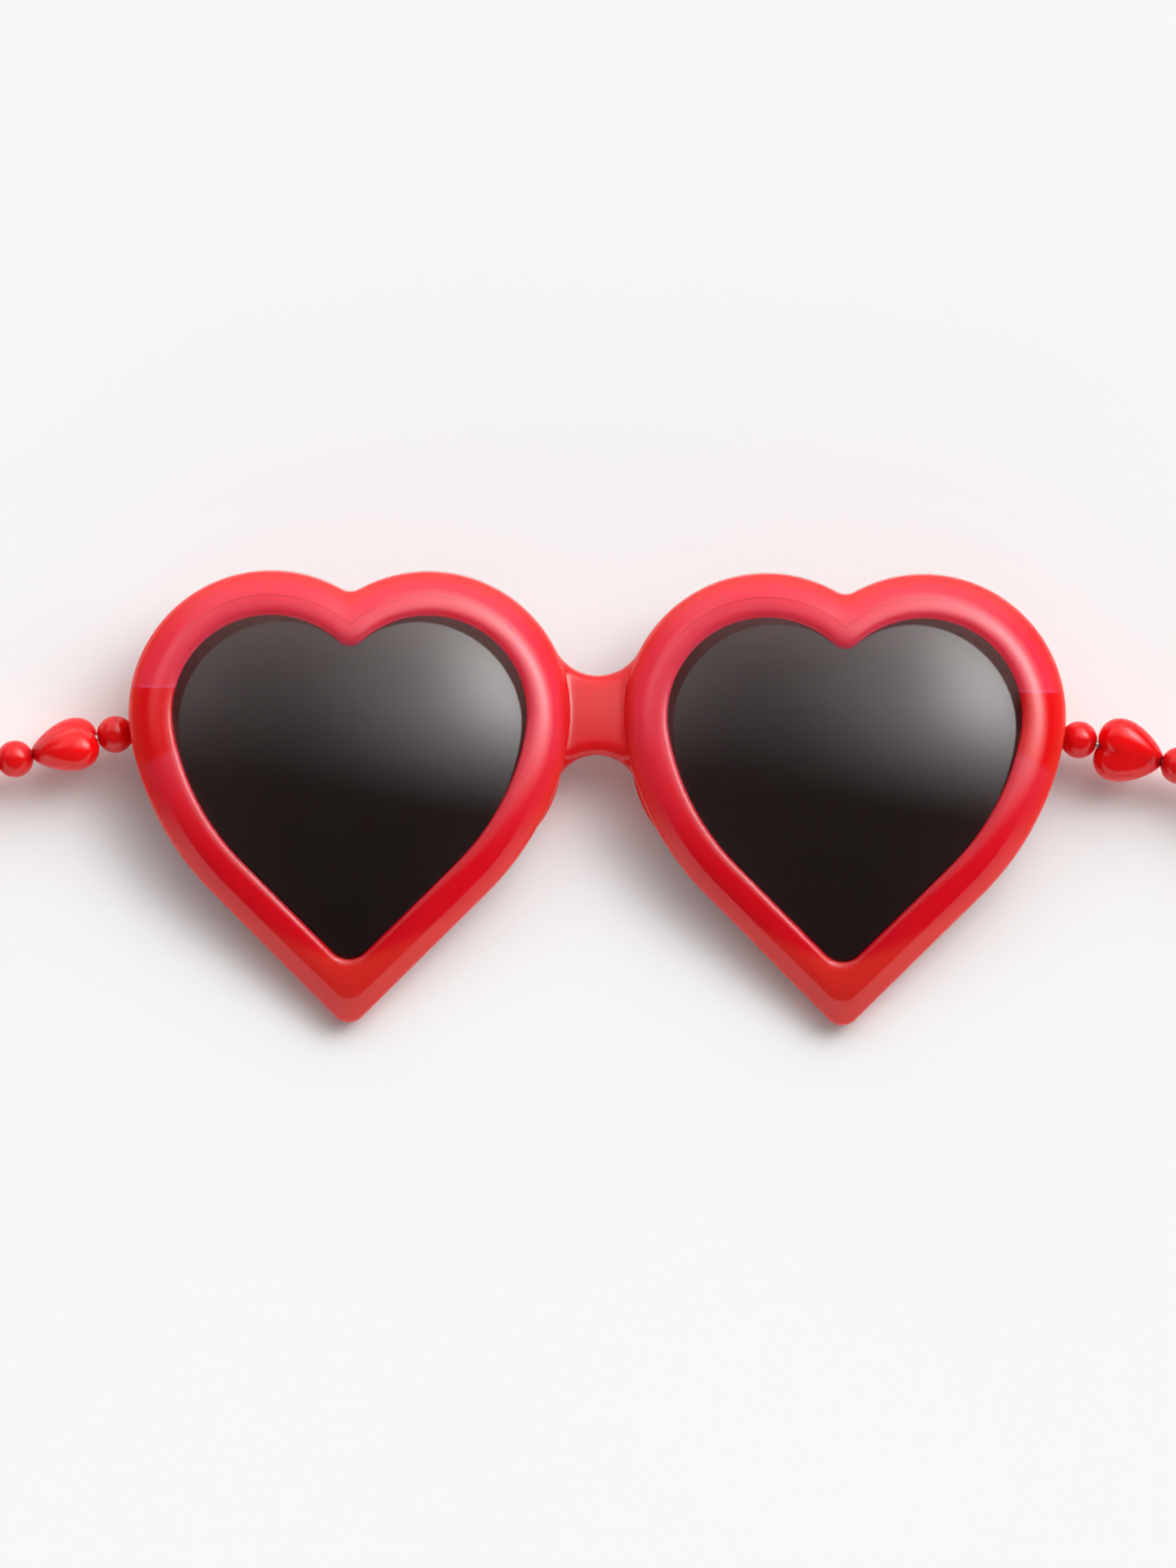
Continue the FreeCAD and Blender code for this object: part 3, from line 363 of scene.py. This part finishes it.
low_inset = across.math("MINIMUM", side_inset, run_inset)
inset = low_inset + (lobe_inset - low_inset) * v.ramp(*LOBE_HEIGHT)
seam = (lobe_inset - SEAM_INSET).size().ramp(*SEAM_HALF, 1, 0) * v.ramp(*SEAM_HEIGHT)
seamed = (seam * SEAM_SHARE).tint(block_shade_lined, SEAM_RED)
# Painted light: a lighter orange red along the outer edge, standing in for table light glowing through the
# thin plastic there.
edge_glowed = (inset.ramp(*EDGE_SPAN, 1, 0) * EDGE_SHARE).tint(seamed, EDGE_GLOW_PAINT)
# Painted shade: the bridge, set back between the rims, is painted a deeper red than the painted pinker rims.
bridge_shade_patch = off_middle.ramp(*BRIDGE_SPAN, 1, 0)
connect((bridge_shade_patch * BRIDGE_SHARE).tint(edge_glowed, BRIDGE_SHADE_RED), shader, "Base Color")
print("front plastic nodes:", len(jelly_red.node_tree.nodes))

# %% [markdown]
# ## Clear red of the beads and caps
# The beads are polished acrylic, a shade more orange than the front, and no two come out of the tumbler
# quite alike. A slow cloud shifts the red from bead to bead, and a finer one breaks the gloss a little. The
# caps are the same red moulded a little softer.

# %% Bead and cap plastic
SHADE_GRAIN, POLISH_GRAIN, DIMPLE_GRAIN = 55.0, 700.0, 900.0


def red_acrylic(name, dark, light, low_gloss, high_gloss):
    material, shader, place = finish(name)
    connect(place.noise(SHADE_GRAIN).ramp(0.3, 0.7).tint(dark, light), shader, "Base Color")
    connect(place.noise(POLISH_GRAIN, 3.0).ramp(0.3, 0.8, low_gloss, high_gloss), shader, "Roughness")
    ripple = place.node("ShaderNodeBump", {"Height": place.noise(DIMPLE_GRAIN), "Strength": 0.008,
                                           "Distance": 0.0002})
    connect(ripple, shader, "Normal")
    set_numbers(shader, Subsurface_Weight=1.0, Subsurface_Scale=0.010, Subsurface_Radius=(1.0, 0.2, 0.12),
                IOR=1.45)
    return material


bead_red = red_acrylic("polished_bead_red", (0.80, 0.003, 0.005, 1), (0.90, 0.005, 0.007, 1), 0.025, 0.05)
cap_red = red_acrylic("soft_cap_red", (0.68, 0.003, 0.007, 1), (0.80, 0.006, 0.010, 1), 0.20, 0.32)
print("acrylics:", bead_red.name, cap_red.name)

# %% [markdown]
# ## Lens tint and steel
# The lenses are a warm black-brown tint that lets about a tenth of the light through. The shader's colour
# is that share, because Blender takes its square root at each of the two faces that the light crosses. The
# hinge screws, the barrels and the core wires are plain drawn steel with fine lines.

# %% Lens and steel
LENS_DOME, LENS_GLOSS, STEEL_GLOSS = (11.54, 0.326), (0.035, 0.07), (0.18, 0.38)
SMOKE_GRAIN, SMEAR_GRAIN, STEEL_GRAIN = 30.0, 500.0, (200.0, 4000.0, 4000.0)
SMOKE_DARK, SMOKE_LIGHT = (0.095, 0.070, 0.068, 1), (0.105, 0.078, 0.075, 1)
STEEL_DARK, STEEL_LIGHT = (0.46, 0.44, 0.42, 1), (0.66, 0.64, 0.61, 1)
lens_tint, shader, place = finish("smoke_brown_lens")
connect(place.noise(SMOKE_GRAIN).ramp(0.3, 0.7).tint(SMOKE_DARK, SMOKE_LIGHT), shader, "Base Color")
connect(place.noise(SMEAR_GRAIN, 3.0).ramp(0.35, 0.8, *LENS_GLOSS), shader, "Roughness")
connect(heart_place(place, *LENS_DOME)[3], shader, "Normal")
set_numbers(shader, Transmission_Weight=1.0, IOR=1.43)

drawn_steel, shader, place = finish("drawn_steel")
stretched = place.node("ShaderNodeMapping", {"Vector": place, "Scale": STEEL_GRAIN})
lines = stretched.noise(1.0, 4.0)
connect(lines.ramp(0.3, 0.7).tint(STEEL_DARK, STEEL_LIGHT), shader, "Base Color")
connect(lines.ramp(0.2, 0.8, *STEEL_GLOSS), shader, "Roughness")
set_numbers(shader, Metallic=1.0)
print("lens and steel ready")

# %% [markdown]
# ## One way to draw a swept skin
# The rims, the bridge, the nose pads, the lenses and the round beads are all skins that run through a row
# of rings with the same number of points. By hand this is a circle whose edge is extruded again and again,
# with each new ring moved to its place. The helper does exactly that, then merges the points that meet.

# %% Rings extruded into a skin
def skin(name, rings, close=True):
    """A closed skin through rings of points. The first ring is met again at the end when close is true."""
    count = len(rings[0])
    bpy.ops.object.select_all(action="DESELECT")
    bpy.ops.mesh.primitive_circle_add(vertices=count, radius=0.01)
    piece = bpy.context.object
    piece.name = piece.data.name = name
    bpy.ops.object.mode_set(mode="EDIT")
    mesh = bmesh.from_edit_mesh(piece.data)
    mesh.verts.ensure_lookup_table()
    order = list(range(count))
    for index, point in zip(order, rings[0]):
        mesh.verts[index].co = point
    for ring in rings[1:] + ([rings[0]] if close else []):
        bpy.ops.mesh.extrude_edges_move()
        mesh = bmesh.from_edit_mesh(piece.data)
        mesh.verts.ensure_lookup_table()
        mesh.verts.index_update()
        older = set(order)
        fresh = {}
        for index in order:
            for edge in mesh.verts[index].link_edges:
                other = edge.other_vert(mesh.verts[index]).index
                if other >= len(mesh.verts) - count and other not in older:
                    fresh[index] = other
        order = [fresh[index] for index in order]
        for index, point in zip(order, ring):
            mesh.verts[index].co = point
    bmesh.update_edit_mesh(piece.data)
    bpy.ops.mesh.select_all(action="SELECT")
    bpy.ops.mesh.remove_doubles(threshold=1e-6)
    bpy.ops.mesh.normals_make_consistent(inside=False)
    bpy.ops.object.mode_set(mode="OBJECT")
    bpy.ops.object.shade_smooth_by_angle(angle=math.radians(38))
    return piece


print("skin helper ready")

# %% A piece's finish, body and solids
def dress(piece, material, slot, body, *nodes):
    """Gives a piece its finish, makes it ride on a body and stand for its solids."""
    piece.data.materials.clear()
    piece.data.materials.append(material)
    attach(piece, body)
    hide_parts(*nodes)


print("dress helper ready")

# %% [markdown]
# ## Heart outline
# Each heart is two round lobes that meet in a small notch, long gentle sides, straight runs and a small
# round tip. A line drawn inside the edge has smaller lobes and sides, so the same arcs, less the inset,
# give every ring of the rim and of the lens.

# %% Points of the heart, at any inset
NOTCH_STEPS, LOBE_STEPS, SIDE_STEPS, RUN_STEPS, TIP_STEPS = 5, 44, 22, 18, 8
NOTCH_ROUND, TIP_ROUND, NOTCH_SWELL, INNER_CHANGE = 3.0, 3.0, 6.0, 0.6


def arc(centre_x, centre_y, radius, start, end, steps):
    for step in range(steps):
        angle = start + (end - start) * step / steps
        yield centre_x + radius * math.cos(angle), centre_y + radius * math.sin(angle)


def heart(inset):
    """A heart's points in millimetres at an inset from its edge, clockwise from the notch."""
    share = min(inset / RIM_WIDTH, 1.0)
    notch = NOTCH_ROUND + NOTCH_SWELL * share * (1 - share) - INNER_CHANGE * share
    tip = TIP_ROUND + INNER_CHANGE * share
    lobe, side = LOBE_RADIUS - inset, SIDE_RADIUS - inset
    notch_y = math.sqrt((lobe + notch) ** 2 - LOBE_OUT ** 2)
    meet = math.atan2(notch_y, LOBE_OUT)
    tip_y = -(RUN_REACH - inset - tip) / math.sin(TIP_HALF)
    run_start = Vector((SIDE_X + side * math.cos(TIP_HALF), SIDE_Y - side * math.sin(TIP_HALF)))
    run_end = Vector((tip * math.cos(TIP_HALF), tip_y - tip * math.sin(TIP_HALF)))
    half = list(arc(0, notch_y, notch, -math.pi / 2, -meet, NOTCH_STEPS))
    half += arc(LOBE_OUT, 0, lobe, math.pi - meet, -SHOULDER, LOBE_STEPS)
    half += arc(SIDE_X, SIDE_Y, side, -SHOULDER, -TIP_HALF, SIDE_STEPS)
    half += [tuple(run_start.lerp(run_end, step / RUN_STEPS)) for step in range(RUN_STEPS)]
    half += arc(0, tip_y, tip, -TIP_HALF, -math.pi / 2, TIP_STEPS)
    lowest = [(0, tip_y - tip)]
    return half + lowest + [(-x, y) for x, y in reversed(half[1:])]


print("heart points:", len(heart(0)), "widest:", round(2 * max(x for x, y in heart(0)), 1), "mm")

# %% [markdown]
# ## Rim
# A rim is highest nearer the opening. From there it rolls into the opening in a quarter ellipse, and
# outwards it has a gently rounded face, then a slope and a round edge, which follow from how steep the face
# is at a few insets. A bevel on a curve could draw it, but the heart narrows and widens round the notch and
# tip, so the section's points are insets of the outline, one ring each.

# %% Section of the rim
RIM_DEPTH, BACK_ROUND, BACK_BREAK, BREAK_BEND = 5.5, 0.8, 0.2, 0.06
WALL_MIDDLE, BACK_MIDDLE = -3.0, 4.0
EDGE_ROUND, EDGE_LEAN = 1.0, math.atan(0.46)
CREST_INSET, CREST_HEIGHT, INNER_FALL = 4.2, -0.2, 1.45
FACE_SLOPES = ((CREST_INSET, 0.0), (2.85, 0.24), (2.40, 0.36),
               (EDGE_ROUND * (1 - math.sin(EDGE_LEAN)), math.tan(EDGE_LEAN)))
FACE_STEPS, INNER_STEPS, BACK_STEPS = 8, 12, 5


def rim_section():
    """Insets and heights, from the outer wall over the face into the opening and round the back."""
    section, w = [], CREST_HEIGHT
    for (start, slope), (end, next_slope) in zip(FACE_SLOPES, FACE_SLOPES[1:]):
        for step in range(1, FACE_STEPS + 1):
            gone = (start - end) * step / FACE_STEPS
            steeper = (next_slope - slope) * gone * gone / (2 * (start - end))
            section.append((start - gone, w - slope * gone - steeper))
        w = section[-1][1]
    for step in range(1, FACE_STEPS + 1):
        turn = EDGE_LEAN + (math.pi / 2 - EDGE_LEAN) * step / FACE_STEPS
        section.append((EDGE_ROUND * (1 - math.sin(turn)),
                        w - EDGE_ROUND * (math.cos(EDGE_LEAN) - math.cos(turn))))
    section.append((0.0, -RIM_DEPTH + BACK_ROUND))
    section.reverse()
    section.append((CREST_INSET, CREST_HEIGHT))
    for step in range(1, INNER_STEPS + 1):
        turn = math.pi / 2 * step / INNER_STEPS
        section.append((CREST_INSET + (RIM_WIDTH - CREST_INSET) * math.sin(turn),
                        CREST_HEIGHT - INNER_FALL * (1 - math.cos(turn))))
    section += [(RIM_WIDTH, WALL_MIDDLE), (RIM_WIDTH, -RIM_DEPTH + BACK_BREAK),
                (RIM_WIDTH - BREAK_BEND, -RIM_DEPTH + BREAK_BEND), (RIM_WIDTH - BACK_BREAK, -RIM_DEPTH),
                (BACK_MIDDLE, -RIM_DEPTH), (BACK_ROUND, -RIM_DEPTH)]
    for step in range(1, BACK_STEPS):
        turn = math.pi / 2 * step / BACK_STEPS
        section.append((BACK_ROUND * (1 - math.sin(turn)),
                        -RIM_DEPTH + BACK_ROUND * (1 - math.cos(turn))))
    return section


section = rim_section()
print("rings of the rim:", len(section))

# %% Two rims
def on_front(u, v, w):
    """A point of the drawing, in millimetres, on the front as it lies on the table."""
    return FRONT @ (Vector((u, v, w)) * MM)


def rim(side, name):
    return skin(name, [[on_front(side * HEART_AXIS + x, y, w) for x, y in heart(inset)]
                       for inset, w in section])


front_shell = rim(1, "front_shell")
left_rim = rim(-1, "left_rim")
print("rim points:", len(front_shell.data.vertices), "in", len(section), "rings")

# %% [markdown]
# ## Bridge and nose pads
# The bridge is a thinner plate between the hearts, set back from the rims, hollowed above and below by an
# arc that runs smoothly into both outlines, with its front edges rolled over. Each nose pad is half an egg
# on the back of a rim. They are lofted from rings like the rims and then joined to them by a Boolean union,
# so that the front is one moulding, with a small hollow where the bridge meets the rims.

# %% Face of the bridge
BRIDGE_CROWN, CROWN_LOW, CROWN_SPAN = 0.006, -3.0, 7.0
HOLLOW_STEEP, HOLLOW_OUT, HOLLOW_SPAN, LOBE_END = 0.217, 0.54, 1.34, -4.0


def corner_rise(place):
    """How far the face sweeps up in the small hollow where it runs into a rim."""
    across = abs(place.x) - HEART_AXIS
    if place.y > LOBE_END:
        inside = LOBE_RADIUS - math.hypot(across + LOBE_OUT, place.y)
    else:
        inside = SIDE_RADIUS - math.hypot(across + SIDE_X, place.y - SIDE_Y)
    return HOLLOW_STEEP * min(max(inside + HOLLOW_OUT, 0), HOLLOW_SPAN) ** 2


def crown_fall(place):
    """How far the face falls away towards the upper edge."""
    return BRIDGE_CROWN * min(max(place.y - CROWN_LOW, 0), CROWN_SPAN) ** 2


print("hollows rise", round(HOLLOW_STEEP * HOLLOW_SPAN ** 2, 2), "mm at most")

# %% Sections of the bridge
BRIDGE_FRONT, BRIDGE_BACK, TOP_ROLL, LOW_ROLL = -1.8, -5.4, 1.3, 2.6
TOP_ARC, LOW_ARC = (13.64, 7.44, math.radians(26.7)), (-13.55, 6.85, math.radians(19.3))
BACK_EDGE = ((0.05, 0.3), (0.35, 0.0))
ROLL_STEPS, PLATE_STEPS = 8, 12


def bridge_ring(share):
    """One section of the plate; share runs from -1 at the left heart to 1 at the right one."""
    top_turn = -math.pi / 2 + share * (math.pi / 2 - TOP_ARC[2])
    low_turn = math.pi / 2 - share * (math.pi / 2 - LOW_ARC[2])
    top_way = Vector((math.cos(top_turn), math.sin(top_turn)))
    low_way = Vector((math.cos(low_turn), math.sin(low_turn)))
    top = Vector((0, TOP_ARC[0])) + top_way * TOP_ARC[1]
    low = Vector((0, LOW_ARC[0])) + low_way * LOW_ARC[1]
    ring = []
    for step in range(ROLL_STEPS + 1):
        turn = math.pi / 2 * step / ROLL_STEPS
        ring.append((top + top_way * TOP_ROLL * (1 - math.cos(turn)),
                     BRIDGE_FRONT - TOP_ROLL * (1 - math.sin(turn))))
    face_top, face_low = top + top_way * TOP_ROLL, low + low_way * LOW_ROLL
    ring += [(face_top.lerp(face_low, step / PLATE_STEPS), BRIDGE_FRONT) for step in range(1, PLATE_STEPS)]
    for step in range(ROLL_STEPS + 1):
        turn = math.pi / 2 * (1 - step / ROLL_STEPS)
        ring.append((low + low_way * LOW_ROLL * (1 - math.cos(turn)),
                     BRIDGE_FRONT - LOW_ROLL * (1 - math.sin(turn))))
    ring = [(place, w - crown_fall(place) + corner_rise(place)) for place, w in ring]
    ring += [(low + low_way * inwards, BRIDGE_BACK + rise) for inwards, rise in BACK_EDGE]
    return ring + [(top + top_way * inwards, BRIDGE_BACK + rise) for inwards, rise in reversed(BACK_EDGE)]


print("points of a section:", len(bridge_ring(0)))

# %% Bridge plate
PLATE_RINGS = 48
BURIED_OUT, BURIED_HEIGHT, BURIED_MIDDLE, BURIED_DEPTH = 9.2, 0.45, -3.4, 0.6


def buried(ring, side):
    """A smaller ring inside the rim, where the plate ends unseen."""
    middle = sum((place for place, w in ring), Vector((0, 0))) / len(ring)
    return [(Vector((side * BURIED_OUT, middle.y + (place.y - middle.y) * BURIED_HEIGHT)),
             BURIED_MIDDLE + (w - BURIED_MIDDLE) * BURIED_DEPTH) for place, w in ring]


def bridge_plate():
    rings = [bridge_ring(-1 + step / PLATE_RINGS) for step in range(2 * PLATE_RINGS + 1)]
    rings = [buried(rings[0], -1)] + rings + [buried(rings[-1], 1)]
    rings = [[on_front(place.x, place.y, w) for place, w in ring] for ring in rings]
    ends = [[sum(ring, Vector()) / len(ring)] * len(ring) for ring in (rings[0], rings[-1])]
    return skin("bridge_plate", [ends[0]] + rings + [ends[1]], close=False)


bridge = bridge_plate()
print("bridge points:", len(bridge.data.vertices))

# %% Nose pads
PAD_PLACE, PAD_HALF, PAD_REACH, PAD_LEAN = (9.04, -13.0), (2.3, 7.0), 6.0, math.radians(21.6)
PAD_ROOT, PAD_POINTS, PAD_RINGS = 0.3, 40, 14


def nose_pad(side):
    rings = [[on_front(side * PAD_PLACE[0], PAD_PLACE[1], -RIM_DEPTH + PAD_ROOT)] * PAD_POINTS]
    rises = [PAD_REACH * math.sin(math.pi / 2 * step / PAD_RINGS) for step in range(PAD_RINGS + 1)]
    for rise in [-PAD_ROOT] + rises:
        width = math.sqrt(max(0.0, 1 - (max(rise, 0) / PAD_REACH) ** 2))
        ring = []
        for step in range(PAD_POINTS):
            turn = 2 * math.pi * step / PAD_POINTS
            across, along = PAD_HALF[0] * width * math.cos(turn), PAD_HALF[1] * width * math.sin(turn)
            u = side * PAD_PLACE[0] + across * math.cos(PAD_LEAN) - side * along * math.sin(PAD_LEAN)
            v = PAD_PLACE[1] + side * across * math.sin(PAD_LEAN) + along * math.cos(PAD_LEAN)
            ring.append(on_front(u, v, -RIM_DEPTH - rise))
        rings.append(ring)
    return skin("nose_pad", rings, close=False)


pads = [nose_pad(1), nose_pad(-1)]
print("pads:", len(pads))

# %% One moulding
def worked(piece, kind, **settings):
    """Adds a modifier with its settings and applies it."""
    bpy.ops.object.select_all(action="DESELECT")
    piece.select_set(True)
    bpy.context.view_layer.objects.active = piece
    work = piece.modifiers.new(kind.lower(), kind)
    for name, value in settings.items():
        setattr(work, name, value)
    bpy.ops.object.modifier_apply(modifier=work.name)


def union(piece, others):
    """Joins closed pieces into one skin."""
    for other in others:
        worked(piece, "BOOLEAN", operation="UNION", solver="EXACT", object=other)
        bpy.data.objects.remove(other)
    bpy.ops.object.shade_smooth_by_angle(angle=math.radians(30))


union(front_shell, [bridge, left_rim] + pads)
dress(front_shell, jelly_red, "frame_red", "front", "front_frame")
print("front:", len(front_shell.data.vertices), "points,", len(front_shell.data.polygons), "faces")

# %% [markdown]
# ## Lenses
# A lens is a heart cut from a shallow dome, and its edge runs into the rim. Near the edge it mirrors the
# rim instead of the light, which shows as a dark brown border, so the lens stands a third of a millimetre
# higher than its solid to keep that border narrow. Rings shrink from the edge towards the middle of the
# dome, so that the gloss stays even.

# %% Two domed lenses
DOME_RADIUS, DOME_MIDDLE, DOME_TOP, LENS_THICK = 260.0, -10.0, -0.45, 1.5
EDGE_IN_RIM = 0.35
LENS_SHARES = (0.0, 0.05, 0.12, 0.2, 0.3, 0.4, 0.5, 0.6, 0.7, 0.8, 0.88, 0.94, 0.98, 1.0)


def dome(x, y):
    return DOME_TOP - DOME_RADIUS + math.sqrt(DOME_RADIUS ** 2 - x * x - (y - DOME_MIDDLE) ** 2)


def lens(side, name):
    rows = [[(x * share, DOME_MIDDLE + (y - DOME_MIDDLE) * share) for x, y in heart(RIM_WIDTH)]
            for share in LENS_SHARES] + [heart(RIM_WIDTH - EDGE_IN_RIM)]
    faces = [(row, 0.0) for row in rows] + [(row, LENS_THICK) for row in reversed(rows)]
    return skin(name, [[on_front(side * HEART_AXIS + x, y, dome(x, y) - below) for x, y in row]
                       for row, below in faces], close=False)


for side, word in ((1, "right"), (-1, "left")):
    glass = lens(side, word + "_domed_lens")
    dress(glass, lens_tint, "lens_tint", "front", word + "_lens")
    print(glass.name, len(glass.data.vertices), "points")

# %% [markdown]
# ## Round beads
# A round bead is a polished ball with a hole whose rim is slightly broken. One ball is drawn on the x axis
# and copied to each place on the wire, turned so that its hole follows the wire from the bead before to the
# bead after.

# %% One ball
BALL_RADIUS, BORE_RADIUS, BORE_BREAK, BREAK_ROUND = 3.0, 0.8, 0.16, 0.05
BALL_RINGS, BALL_POINTS = 24, 40


def bead_ball():
    mouth = math.sqrt(BALL_RADIUS ** 2 - (BORE_RADIUS + BORE_BREAK) ** 2)
    line = [(mouth - BORE_BREAK, BORE_RADIUS), (mouth - BREAK_ROUND, BORE_RADIUS + BREAK_ROUND)]
    start = math.acos(mouth / BALL_RADIUS)
    for step in range(BALL_RINGS + 1):
        turn = start + (math.pi - 2 * start) * step / BALL_RINGS
        line.append((BALL_RADIUS * math.cos(turn), BALL_RADIUS * math.sin(turn)))
    line += [(-x, radius) for x, radius in reversed(line[:2])]
    turns = [2 * math.pi * step / BALL_POINTS for step in range(BALL_POINTS)]
    rings = [[Vector((x, radius * math.cos(turn), radius * math.sin(turn))) * MM for turn in turns]
             for x, radius in line]
    return skin("bead_ball", rings)


ball = bead_ball()
print("ball points:", len(ball.data.vertices))

# %% Its copies along the wires
BEADS_PER_ARM = 14


def placed_copy(pattern, name, place):
    piece = pattern.copy()
    piece.data = pattern.data.copy()
    piece.name = piece.data.name = name
    piece.data.transform(place)
    bpy.context.scene.collection.objects.link(piece)
    return piece


def middle(node):
    low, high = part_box(node)
    return (low + high) / 2


for word in ("right", "left"):
    row = [word + "_round_bead_%02d" % number for number in range(1, BEADS_PER_ARM + 1)]
    spots = [middle(node) for node in row]
    for number, node in enumerate(row):
        before, after = spots[max(number - 1, 0)], spots[min(number + 1, BEADS_PER_ARM - 1)]
        turn = (after - before).to_track_quat("X", "Z").to_matrix().to_4x4()
        bead = placed_copy(ball, word + "_polished_bead_%02d" % (number + 1),
                           Matrix.Translation(spots[number]) @ turn)
        dress(bead, bead_red, "bead_red", word + "_arm", node)
bpy.data.objects.remove(ball)
print("round beads:", 2 * BEADS_PER_ARM)

# %% [markdown]
# ## Heart beads
# A heart bead is two plump eggs that lean together at the tip, with a third egg filling the valley between
# them. They are joined, remeshed into even faces and smoothed, so that only a soft valley runs in from the
# notch, and a drill cuts the hole. Each copy is turned about the wire as its solid is.

# %% An egg
EGG_TAPER = 0.3


def egg(place, half, turn):
    """A ball stretched to three half lengths, slimmer towards the tip, turned and moved, in millimetres."""
    bpy.ops.object.select_all(action="DESELECT")
    bpy.ops.mesh.primitive_uv_sphere_add(segments=48, ring_count=32, radius=MM)
    piece = bpy.context.object
    for point in piece.data.vertices:
        slim = 1 - EGG_TAPER * point.co.x / MM
        point.co.y, point.co.z = point.co.y * slim, point.co.z * slim
    piece.data.transform(Matrix.Translation(Vector((place[0], place[1], 0)) * MM)
                         @ Matrix.Rotation(turn, 4, "Z") @ Matrix.Diagonal((*half, 1)))
    return piece


print("egg helper ready, taper:", EGG_TAPER)

# %% One puffed heart
LOBE_TURN, LOBE_PLACE, LOBE_HALF = math.radians(14), (0.3, 1.2), (5.7, 3.45, 3.2)
FILL_PLACE, FILL_HALF = (0.85, 0.0), (4.9, 3.4, 3.15)
FACE_SIZE, SOFTENING, SOFT_ROUNDS = 0.2, 0.5, 14
DRILL_RADIUS, DRILL_LENGTH = 0.7, 16.0


def puffed_heart():
    piece = egg(LOBE_PLACE, LOBE_HALF, -LOBE_TURN)
    others = [egg((LOBE_PLACE[0], -LOBE_PLACE[1]), LOBE_HALF, LOBE_TURN), egg(FILL_PLACE, FILL_HALF, 0)]
    piece.name = piece.data.name = "puffed_heart"
    union(piece, others)
    worked(piece, "REMESH", mode="VOXEL", voxel_size=FACE_SIZE * MM)
    worked(piece, "SMOOTH", factor=SOFTENING, iterations=SOFT_ROUNDS)
    bpy.ops.object.select_all(action="DESELECT")
    bpy.ops.mesh.primitive_cylinder_add(vertices=40, radius=DRILL_RADIUS * MM, depth=DRILL_LENGTH * MM,
                                        rotation=(0, math.pi / 2, 0))
    drill = bpy.context.object
    worked(piece, "BOOLEAN", operation="DIFFERENCE", solver="EXACT", object=drill)
    bpy.data.objects.remove(drill)
    bpy.ops.object.shade_smooth_by_angle(angle=math.radians(40))
    return piece


heart_bead = puffed_heart()
print("heart bead points:", len(heart_bead.data.vertices))

# %% Its copies, turned about the wires
HEART_TURNS = {"right": (8, -35, 20, 60), "left": (62, 15, -40, 25)}
ARM_SLOPE, ARM_RAISE = math.radians(-14), math.radians(2.309)
for word, over in (("right", -ARM_RAISE), ("left", math.pi + ARM_RAISE)):
    for number, twist in enumerate(HEART_TURNS[word], start=1):
        spin = joints["%s_heart_%d_spin" % (word, number)]
        turn = (LEAN @ Matrix.Rotation(over, 4, "Y") @ Matrix.Rotation(ARM_SLOPE, 4, "Z")
                @ Matrix.Rotation(math.radians(twist), 4, "X"))
        name = "%s_puffed_heart_%d" % (word, number)
        bead = placed_copy(heart_bead, name, Matrix.Translation(Vector(spin["pos_m"])) @ turn)
        dress(bead, bead_red, "bead_red", "%s_heart_%d" % (word, number), "%s_heart_bead_%d" % (word, number))
        along = (turn @ Vector((1, 0, 0))).dot(Vector(spin["axis"]))
        print(name, "hole along the wire:", round(along, 4))
bpy.data.objects.remove(heart_bead)

# %% [markdown]
# ## Parts that keep their solid's shape
# The hinge blocks, barrels, screws, wires and end caps are already drawn with their real edges, so their
# solids stay and only take a finish.

# %% Finishes on the solids that stay
STAYING = {"hinge_block": jelly_red, "hinge_screw": drawn_steel, "hinge_barrel": drawn_steel,
           "temple_wire": drawn_steel, "end_cap": cap_red}
for word in ("right", "left"):
    for part, material in STAYING.items():
        for place in frame["nodes"]["%s_%s" % (word, part)].material_slots:
            place.material = material
print("solids kept:", 2 * len(STAYING))

# %% [markdown] ## Box of the solids The dressed model has to stay inside the box of the solids.
